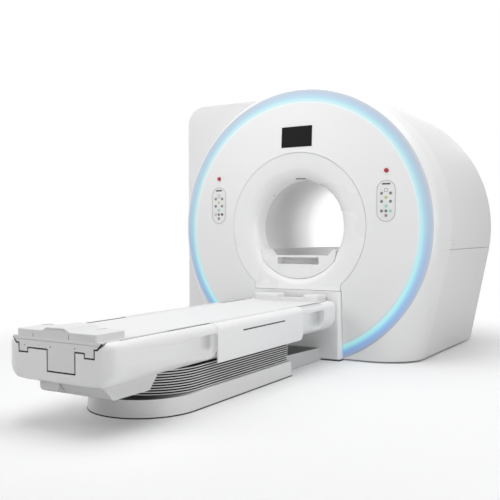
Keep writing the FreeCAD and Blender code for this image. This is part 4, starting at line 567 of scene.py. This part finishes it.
# painted shade on the base's top under the pan and the bellows' foot end: where it fades out,
# where it is full, and its depth from the top
PAN_SHADE_FADED = -2.42
PAN_SHADE_FULL = -2.78
PAN_SHADE_DEPTH = 0.004
pan_shade_coords = add_node(base_coat, "ShaderNodeTexCoord").outputs["Object"]
pan_shade_parts = add_node(base_coat, "ShaderNodeSeparateXYZ", links={"Vector": pan_shade_coords})
pan_shade_along = add_node(base_coat, "ShaderNodeMapRange",
                      inputs={"From Min": PAN_SHADE_FADED, "From Max": PAN_SHADE_FULL},
                      links={"Value": pan_shade_parts.outputs["Y"]})
pan_shade_top = add_node(base_coat, "ShaderNodeMath", {"operation": "GREATER_THAN"},
                    {1: base_high.z - PAN_SHADE_DEPTH}, {0: pan_shade_parts.outputs["Z"]})
pan_shade_share = add_node(base_coat, "ShaderNodeMath", {"operation": "MULTIPLY"},
                      links={0: pan_shade_along.outputs["Result"], 1: pan_shade_top.outputs["Value"]})
# painted shade: the base's top turns near black under the foot pan and the bellows' foot end
tint(base_coat, pan_shade_share.outputs["Value"], "#202020")
dress("couch_base_cover", base_coat)
# the wedge's coat is drawn greyer than the base's, and darker where its faces look up: painted
# shade under the couch
TOP_FACING = 0.7
wedge_coat = moulded_finish("powder_coat_wedge", "#d2d2d2", "#cecece", 0.5, 2.5, 0.04)
wedge_facing = add_node(wedge_coat, "ShaderNodeNewGeometry")
wedge_up = add_node(wedge_coat, "ShaderNodeSeparateXYZ",
                    links={"Vector": wedge_facing.outputs["Normal"]})
wedge_top = add_node(wedge_coat, "ShaderNodeMath", {"operation": "GREATER_THAN"},
                     {1: TOP_FACING}, {0: wedge_up.outputs["Z"]})
# painted shade: the wedge's upward faces darkened where the couch overhangs them
tint(wedge_coat, wedge_top.outputs["Value"], "#6c6c6c")
dress("couch_wedge_cover", wedge_coat)


# ---------------------------------------------------------------------------------------------
# Lift. Three square steel tubes that slide in one another, ground on their outsides, with a
# motor standing inside them. The bellows hide them.
# ---------------------------------------------------------------------------------------------
def ground_steel_finish():
    """Ground steel: fine vertical grinding lines 2 mm apart in colour, gloss and relief."""
    material, surface, coords = new_finish("ground_steel_tube")
    stretched = add_node(material, "ShaderNodeMapping", inputs={"Scale": (500.0, 500.0, 6.0)},
                         links={"Vector": coords})
    lines = add_node(material, "ShaderNodeTexNoise", inputs={"Scale": 1.0, "Detail": 2.0},
                     links={"Vector": stretched.outputs["Vector"]})
    colour = add_node(material, "ShaderNodeValToRGB", links={"Fac": lines.outputs["Fac"]},
                      stops=[(0.3, "#b4b6b8"), (0.7, "#c6c8ca")])
    gloss = add_node(material, "ShaderNodeMapRange",
                     inputs={"From Min": 0.3, "From Max": 0.7, "To Min": 0.28, "To Max": 0.42},
                     links={"Value": lines.outputs["Fac"]})
    bump = add_node(material, "ShaderNodeBump", inputs={"Strength": 0.5, "Distance": 0.0001},
                    links={"Height": lines.outputs["Fac"]})
    shader = add_node(material, "ShaderNodeBsdfPrincipled", inputs={"Metallic": 1.0},
                      links={"Base Color": colour.outputs["Color"],
                             "Roughness": gloss.outputs["Result"],
                             "Normal": bump.outputs["Normal"]})
    material.node_tree.links.new(shader.outputs["BSDF"], surface)
    return material


tube_steel = ground_steel_finish()
for node in ("lift_column_outer", "lift_column_middle", "lift_column_inner"):
    dress(node, tube_steel)
# dark stove enamel of the motor's case
motor_enamel = moulded_finish("stove_enamel_motor", "#3a3c3f", "#323437", 0.40, 2.0, 0.04, 60)
dress("lift_motor", motor_enamel)


# ---------------------------------------------------------------------------------------------
# Bellows. A skirt of rubberised fabric in ten pleats, each with a welded hem along its outer
# fold, clipped to the top of the couch base below and to the couch's floor above. It opens as
# the couch rises.
# ---------------------------------------------------------------------------------------------
def rubber_fabric_finish():
    """Rubberised fabric: nearly white hems, and folds painted near black as shade."""
    material, surface, coords = new_finish("rubberised_fabric_bellows")
    depth = add_node(material, "ShaderNodeAttribute", {"attribute_name": "fold_depth"})
    folds = add_node(material, "ShaderNodeValToRGB", links={"Fac": depth.outputs["Fac"]},
                     stops=[(0.0, "#f6f6f4"), (0.10, "#dededc"), (0.18, "#101010"),
                             (1.0, "#040404")])
    weave = add_node(material, "ShaderNodeTexNoise", inputs={"Scale": 1000 / 2.5, "Detail": 2.0},
                     links={"Vector": coords})
    bump = add_node(material, "ShaderNodeBump", inputs={"Strength": 0.6, "Distance": 0.0002},
                    links={"Height": weave.outputs["Fac"]})
    shader = add_node(material, "ShaderNodeBsdfPrincipled", inputs={"IOR": 1.5, "Roughness": 0.6},
                      links={"Base Color": folds.outputs["Color"],
                             "Normal": bump.outputs["Normal"]})
    material.node_tree.links.new(shader.outputs["BSDF"], surface)
    return material


def bellows_skirt():
    """Plan with a half-round foot end, carried up through fold and hem by extruding and scaling."""
    low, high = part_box("bellows")
    half_width = high.x
    half_length = (high.y - low.y) / 2
    pleats = 10
    pitch = (high.z - low.z) / pleats
    fold = 0.0165
    head_corner = 0.024
    foot_corner = half_width - 0.0005
    steps = ((0.00, 1.0), (0.32, 0.10), (0.42, 0.0), (0.58, 0.0), (0.68, 0.10), (1.00, 1.0))
    centre = (low + high) / 2
    mesh = bmesh.new()
    bmesh.ops.create_grid(mesh, x_segments=1, y_segments=1, size=1.0)
    bmesh.ops.scale(mesh, vec=(half_width, half_length, 1.0), verts=mesh.verts)
    bmesh.ops.translate(mesh, vec=(0.0, centre.y, low.z), verts=mesh.verts)
    for radius, at_foot in ((head_corner, False), (foot_corner, True)):
        corners = [vert for vert in mesh.verts if (vert.co.y < centre.y) == at_foot]
        bmesh.ops.bevel(mesh, geom=corners, offset=radius, offset_type="OFFSET", affect="VERTICES",
                        segments=20 if at_foot else 6, profile=0.5, material=-1)
    depth = mesh.verts.layers.float.new("fold_depth")
    loop = list(mesh.edges)
    bmesh.ops.delete(mesh, geom=list(mesh.faces), context="FACES_ONLY")

    def resize(verts, before, after):
        """Scale a level in plan, from one depth inside the outline to another."""
        bmesh.ops.scale(mesh, vec=((half_width - after) / (half_width - before),
                                   (half_length - after) / (half_length - before), 1.0),
                        verts=verts, space=Matrix.Translation(-centre))

    def edges_between(geometry, level):
        """The new edges that join the vertices of one level."""
        return [item for item in geometry if isinstance(item, bmesh.types.BMEdge)
                and all(vert in level for vert in item.verts)]

    level = list(mesh.verts)
    resize(level, 0.0, fold)
    for vert in level:
        vert[depth] = 1.0
    first_loop = loop
    for _ in range(pleats):
        for (start, before), (stop, share) in zip(steps, steps[1:]):
            grown = bmesh.ops.extrude_edge_only(mesh, edges=loop)["geom"]
            level = verts_of(grown)
            loop = edges_between(grown, level)
            bmesh.ops.translate(mesh, vec=(0.0, 0.0, (stop - start) * pitch), verts=level)
            resize(level, fold * before, fold * share)
            for vert in level:
                vert[depth] = share
    # inner wall, and the two narrow rings that close the skirt
    wall = 0.004
    inner = []
    for edges in (first_loop, loop):
        grown = bmesh.ops.extrude_edge_only(mesh, edges=edges)["geom"]
        level = verts_of(grown)
        inner.append(edges_between(grown, level))
        resize(level, fold, fold + wall)
    bmesh.ops.bridge_loops(mesh, edges=inner[0] + inner[1])
    bmesh.ops.recalc_face_normals(mesh, faces=mesh.faces)
    for face in mesh.faces:
        face.smooth = True
    return make_piece("bellows_skirt", mesh, rubber_fabric_finish())


skirt = bellows_skirt()
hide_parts("bellows")
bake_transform(skirt)


# ---------------------------------------------------------------------------------------------
# Couch body, side panels and foot pan. Glass-fibre mouldings with a gelcoat outside, screwed
# to the couch's frame from below; the side panels are fixed rails for the attendants. Black rubber
# lies in the rails' slots; grey strips along the rim and black strips round the tabletop's foot end
# are painted shade in the gaps beside the tabletop.
# ---------------------------------------------------------------------------------------------
# the belly's rounding: its axis beside the middle, its height and its radius
BELLY_SIDE = 0.252
BELLY_HEIGHT = 0.3355
BELLY_RADIUS = 0.1
# painted shade in the foot and head grips: middle and half length along the couch, the depths at
# which it starts and is full, and its colour
GRIP_SHADES = ((-2.576, 0.184, 0.030, 0.062, "#1c1c1c"), (-1.195, 0.155, 0.006, 0.040, "#a6a6a6"))


def shade_grips(material):
    """Painted shade in the grips, black at the foot and grey at the head, by depth from outside."""
    coords = add_node(material, "ShaderNodeTexCoord").outputs["Object"]
    parts = add_node(material, "ShaderNodeSeparateXYZ", links={"Vector": coords})
    across = add_node(material, "ShaderNodeMath", {"operation": "ABSOLUTE"},
                      links={0: parts.outputs["X"]})
    beside = add_node(material, "ShaderNodeMath", {"operation": "SUBTRACT"}, {1: BELLY_SIDE},
                      {0: across.outputs["Value"]})
    out = add_node(material, "ShaderNodeMath", {"operation": "MAXIMUM"}, {1: 0.0},
                   {0: beside.outputs["Value"]})
    above = add_node(material, "ShaderNodeMath", {"operation": "SUBTRACT"}, {1: BELLY_HEIGHT},
                     {0: parts.outputs["Z"]})
    down = add_node(material, "ShaderNodeMath", {"operation": "MINIMUM"}, {1: 0.0},
                    {0: above.outputs["Value"]})
    flat = add_node(material, "ShaderNodeCombineXYZ",
                    links={"X": out.outputs["Value"], "Y": down.outputs["Value"]})
    reach = add_node(material, "ShaderNodeVectorMath", {"operation": "LENGTH"},
                     links={0: flat.outputs["Vector"]})
    for middle, half_length, start, full, code in GRIP_SHADES:
        depth = add_node(material, "ShaderNodeMapRange",
                         inputs={"From Min": BELLY_RADIUS - start, "From Max": BELLY_RADIUS - full},
                         links={"Value": reach.outputs["Value"]})
        grip = add_node(material, "ShaderNodeMath", {"operation": "COMPARE"},
                        {1: middle, 2: half_length}, {0: parts.outputs["Y"]})
        share = add_node(material, "ShaderNodeMath", {"operation": "MULTIPLY"},
                         links={0: depth.outputs["Result"], 1: grip.outputs["Value"]})
        tint(material, share.outputs["Value"], code)


couch_gelcoat = moulded_finish("gelcoat_couch_body", "#f0f0f0", "#eeeeee", 0.36, 3.0, 0.02)
shade_grips(couch_gelcoat)
dress("couch_body", couch_gelcoat)
# the pan is a separate moulding, drawn a little greyer than the body: painted shade from the body
# above it
pan_resin = moulded_finish("moulded_resin_foot_pan", "#d9d9d9", "#d5d5d5", 0.5, 3.0, 0.03)
dress("foot_pan", pan_resin)


def pan_end():
    """Closing moulding on the pan's left part: a block with its free edges rounded."""
    low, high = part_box("foot_pan")
    left, right = -0.140, -0.006
    depth, drop, rounding = 0.240, 0.058, 0.022
    proud, sunk = 0.002, 0.001
    middle = (left + right) / 2
    mesh = bmesh.new()
    bmesh.ops.create_cube(mesh, size=1.0)
    bmesh.ops.scale(mesh, vec=(right - left, depth, drop), verts=mesh.verts)
    bmesh.ops.translate(mesh, vec=(middle, low.y - proud + depth / 2, high.z - sunk - drop / 2),
                        verts=mesh.verts)
    lower = [edge for edge in mesh.edges
             if max(vert.co.z for vert in edge.verts) < high.z - drop / 2]
    uprights = [edge for edge in mesh.edges
                if abs(edge.verts[0].co.z - edge.verts[1].co.z) > drop / 2
                and max(vert.co.x for vert in edge.verts) < middle]
    bmesh.ops.bevel(mesh, geom=lower + uprights, offset=rounding, offset_type="OFFSET",
                    affect="EDGES", segments=CORNER_STEPS, profile=0.5, material=-1)
    for face in mesh.faces:
        face.smooth = True
    piece = make_piece("foot_pan_end", mesh, pan_resin)
    split_edges(piece)
    return piece


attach(pan_end(), "couch")
pan_seam = thin_plate("foot_pan_seam", "foot_pan", (-0.002, -3.17, 0.208), 4, 44, 1, black_rubber_and_shade)
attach(pan_seam, "couch")
panel_gelcoat = moulded_finish("gelcoat_side_panels", "#f5f5f5", "#f3f3f3", 0.32, 3.0, 0.02)
dress("couch_side_panel_right", panel_gelcoat)
dress("couch_side_panel_left", panel_gelcoat)

# black rubber in the rails' slots, and a grey strip along the rim beside the tabletop, painted
# shade under the tabletop's edge
SLOT_MIDDLE = (0.36, -1.878, 0.3825)
SLOT_LENGTH = 504
SLOT_WIDTH = 8.5
RIM_SHADE_WIDTH = 12
RIM_HEIGHT = 0.445
rim_shade_grey = moulded_finish("grey_rim_painted_shade", "#6c6c6c", "#646464", 0.7, 1.5, 0.03, 40)
for side, sign in (("right", 1), ("left", -1)):
    panel = "couch_side_panel_" + side
    slot_strip = thin_plate("rail_slot_strip_" + side, panel,
                            (sign * SLOT_MIDDLE[0], SLOT_MIDDLE[1], SLOT_MIDDLE[2]),
                            SLOT_LENGTH, SLOT_WIDTH, 2, black_rubber_and_shade, facing=(sign, 0, 0))
    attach(slot_strip, "couch")
    for part, node, beside, foot, head in (("foot_", "couch_body", 0.3055, -3.130, -2.396),
                                           ("middle_", panel, 0.3160, -2.388, -1.410),
                                           ("head_", "couch_body", 0.3055, -1.362, -0.920)):
        rim_shade_strip = thin_plate("rim_shade_" + part + side, node,
                             (sign * beside, (foot + head) / 2, RIM_HEIGHT),
                             RIM_SHADE_WIDTH, 1000 * (head - foot), 1, rim_shade_grey, facing=(0, 0, 1))
        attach(rim_shade_strip, "couch")
# painted shade: a black strip in the gap round the tabletop at the foot end; its middle line in mm
GAP_SHADE_FACE = -3.2272
GAP_SHADE_SWEEP = (0.0, 0.006, 0.0)
GAP_SHADE_THICKNESS = 0.0070
GAP_LINES = {
    "right": [(287, 438), (260, 410), (244, 410), (244, 368), (184, 368), (184, 390)],
    "middle": [(125, 390), (125, 288), (-53, 288), (-53, 390)],
    "left": [(-287, 438), (-260, 410), (-244, 410), (-244, 368), (-184, 368), (-184, 390)],
}
for part, line in GAP_LINES.items():
    gap_shade_strip = dark_strip("foot_gap_shade_" + part,
                            [Vector((x / 1000, GAP_SHADE_FACE, z / 1000)) for x, z in line],
                            GAP_SHADE_SWEEP, GAP_SHADE_THICKNESS, black_rubber_and_shade)
    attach(gap_shade_strip, "couch")


# ---------------------------------------------------------------------------------------------
# Couch frame. Extruded and clear-anodised aluminium beams with cross plates, on the lift's
# inner tube; the covers hide it.
# ---------------------------------------------------------------------------------------------
def anodised_finish():
    """Clear anodised aluminium: extrusion lines along the beams, 3 mm apart."""
    material, surface, coords = new_finish("anodised_aluminium_frame")
    stretched = add_node(material, "ShaderNodeMapping", inputs={"Scale": (330.0, 4.0, 330.0)},
                         links={"Vector": coords})
    lines = add_node(material, "ShaderNodeTexNoise", inputs={"Scale": 1.0, "Detail": 2.0},
                     links={"Vector": stretched.outputs["Vector"]})
    colour = add_node(material, "ShaderNodeValToRGB", links={"Fac": lines.outputs["Fac"]},
                      stops=[(0.3, "#bfc1c3"), (0.7, "#cccecf")])
    bump = add_node(material, "ShaderNodeBump", inputs={"Strength": 0.4, "Distance": 0.0001},
                    links={"Height": lines.outputs["Fac"]})
    shader = add_node(material, "ShaderNodeBsdfPrincipled",
                      inputs={"Metallic": 1.0, "Roughness": 0.42},
                      links={"Base Color": colour.outputs["Color"],
                             "Normal": bump.outputs["Normal"]})
    material.node_tree.links.new(shader.outputs["BSDF"], surface)
    return material


dress("couch_frame", anodised_finish())


# ---------------------------------------------------------------------------------------------
# Tabletop with its foot block and coil dock. The top is a sandwich of glass-fibre skins on foam,
# painted satin white; the blocks are moulded polyurethane, screwed down on it.
# ---------------------------------------------------------------------------------------------
table_paint = moulded_finish("satin_composite_tabletop", "#e7e7e7", "#e4e4e4", 0.48, 2.0, 0.03)
dress("tabletop", table_paint)
block_plastic = moulded_finish("moulded_polyurethane_blocks", "#e2e2e2", "#dedede", 0.45, 2.0,
                               0.04, 300)
dress("foot_block", block_plastic)
dress("coil_dock", block_plastic)

# engraved ticks on the foot block, and screws in the tabletop's foot end
FOOT_FACE = -3.230
TICK_WIDTH = 4
SCREW_HEAD = 7
engraving = moulded_finish("engraved_grey_marks", "#8c8c8c", "#868686", 0.5, 1.0, 0.01, 30)
screw_steel = moulded_finish("blackened_steel_screws", "#6c6c6c", "#646464", 0.4, 1.0, 0.01, 30)
for name, x, z, height in (("left", -0.146, 0.454, 18), ("right", 0.087, 0.4565, 23)):
    tick = thin_plate("foot_block_tick_" + name, "foot_block", (x, FOOT_FACE, z),
                      TICK_WIDTH, height, 1, engraving)
    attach(tick, "tabletop")
for name, x, z in (("left", -0.205, 0.4024), ("middle", -0.031, 0.4037), ("right", 0.124, 0.4065)):
    screw = thin_plate("tabletop_screw_" + name, "tabletop", (x, FOOT_FACE, z),
                       SCREW_HEAD, SCREW_HEAD, 3.4, screw_steel)
    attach(screw, "tabletop")


# ---------------------------------------------------------------------------------------------
# Studio: a pale floor that fades into a white surround, a large soft lamp overhead, and weaker
# ones from the front left, low on the right, from the left and from behind.
# ---------------------------------------------------------------------------------------------
def floor_finish():
    """Matt pale floor that keeps the object's shadow; what the camera sees beyond it is white."""
    material, surface, coords = new_finish("studio_floor")
    centred = add_node(material, "ShaderNodeMapping",
                       inputs={"Location": (0.0, 1.5, 0.0), "Scale": (1.0, 0.8, 1.0)},
                       links={"Vector": coords})
    distance = add_node(material, "ShaderNodeVectorMath", {"operation": "LENGTH"},
                        links={0: centred.outputs["Vector"]})
    far = add_node(material, "ShaderNodeMapRange", {"interpolation_type": "SMOOTHSTEP"},
                   {"From Min": 1.9, "From Max": 3.6}, {"Value": distance.outputs["Value"]})
    path = add_node(material, "ShaderNodeLightPath")
    seen = add_node(material, "ShaderNodeMath", {"operation": "MAXIMUM"},
                    links={0: path.outputs["Is Camera Ray"], 1: path.outputs["Is Glossy Ray"]})
    fade = add_node(material, "ShaderNodeMath", {"operation": "MULTIPLY"},
                    links={0: far.outputs["Result"], 1: seen.outputs["Value"]})
    tone = add_node(material, "ShaderNodeMix", {"data_type": "RGBA"},
                    {"A": linear("#dcdcdc"), "B": linear("#f4f4f4")},
                    {"Factor": path.outputs["Is Camera Ray"]})
    matt = add_node(material, "ShaderNodeBsdfDiffuse", links={"Color": tone.outputs["Result"]})
    lift_share = add_node(material, "ShaderNodeMath", {"operation": "MULTIPLY"},
                          {1: 0.05}, {0: seen.outputs["Value"]})
    lift = add_node(material, "ShaderNodeEmission", inputs={"Color": linear("#ffffff")},
                    links={"Strength": lift_share.outputs["Value"]})
    near = add_node(material, "ShaderNodeAddShader",
                    links={0: matt.outputs["BSDF"], 1: lift.outputs["Emission"]})
    white = add_node(material, "ShaderNodeEmission", inputs={"Color": linear("#ffffff"),
                                                             "Strength": 1.0})
    floor_mix = add_node(material, "ShaderNodeMixShader",
                         links={"Fac": fade.outputs["Value"], 1: near.outputs["Shader"],
                                2: white.outputs["Emission"]})
    material.node_tree.links.new(floor_mix.outputs["Shader"], surface)
    return material


floor_mesh = bmesh.new()
bmesh.ops.create_grid(floor_mesh, x_segments=1, y_segments=1, size=60.0)
floor = make_piece("studio_floor", floor_mesh, floor_finish())

world = bpy.data.worlds.new("studio")
world.use_nodes = True
world.node_tree.nodes.clear()
sky_path = add_node(world, "ShaderNodeLightPath")
sky_seen = add_node(world, "ShaderNodeMath", {"operation": "MAXIMUM"},
                    links={0: sky_path.outputs["Is Camera Ray"],
                           1: sky_path.outputs["Is Glossy Ray"]})
sky_clear = add_node(world, "ShaderNodeMath", {"operation": "MAXIMUM"},
                     links={0: sky_seen.outputs["Value"],
                            1: sky_path.outputs["Is Transmission Ray"]})
sky_light = add_node(world, "ShaderNodeBackground", inputs={"Color": linear("#fbfcff"),
                                                            "Strength": 0.178})
sky_white = add_node(world, "ShaderNodeBackground", inputs={"Color": linear("#ffffff"),
                                                            "Strength": 1.0})
sky_mix = add_node(world, "ShaderNodeMixShader",
                   links={"Fac": sky_clear.outputs["Value"], 1: sky_light.outputs["Background"],
                          2: sky_white.outputs["Background"]})
add_node(world, "ShaderNodeOutputWorld", links={"Surface": sky_mix.outputs["Shader"]})
bpy.context.scene.world = world


def soft_lamp(name, place, target, width, watts):
    """Square soft box at place, facing target."""
    data = bpy.data.lights.new(name, "AREA")
    data.shape = "SQUARE"
    data.size = width
    data.energy = watts
    lamp = bpy.data.objects.new(name, data)
    lamp.location = place
    lamp.rotation_euler = (Vector(target) - Vector(place)).to_track_quat("-Z", "Y").to_euler()
    bpy.context.scene.collection.objects.link(lamp)


soft_lamp("overhead_lamp", (0.6, -1.6, 6.0), (0.0, -1.2, 0.5), 6.0, 280)
soft_lamp("front_left_lamp", (-3.5, -6.5, 4.0), (0.0, -1.0, 0.8), 4.0, 134)
soft_lamp("low_right_lamp", (6.0, -3.5, 1.2), (0.0, -1.6, 0.3), 2.0, 102)
soft_lamp("left_lamp", (-6.5, -2.5, 3.0), (0.0, -1.0, 0.8), 4.0, 49)
soft_lamp("rear_lamp", (-1.0, 7.5, 2.0), (0.0, 0.8, 1.0), 3.0, 110)

bpy.context.scene.view_settings.view_transform = "Standard"
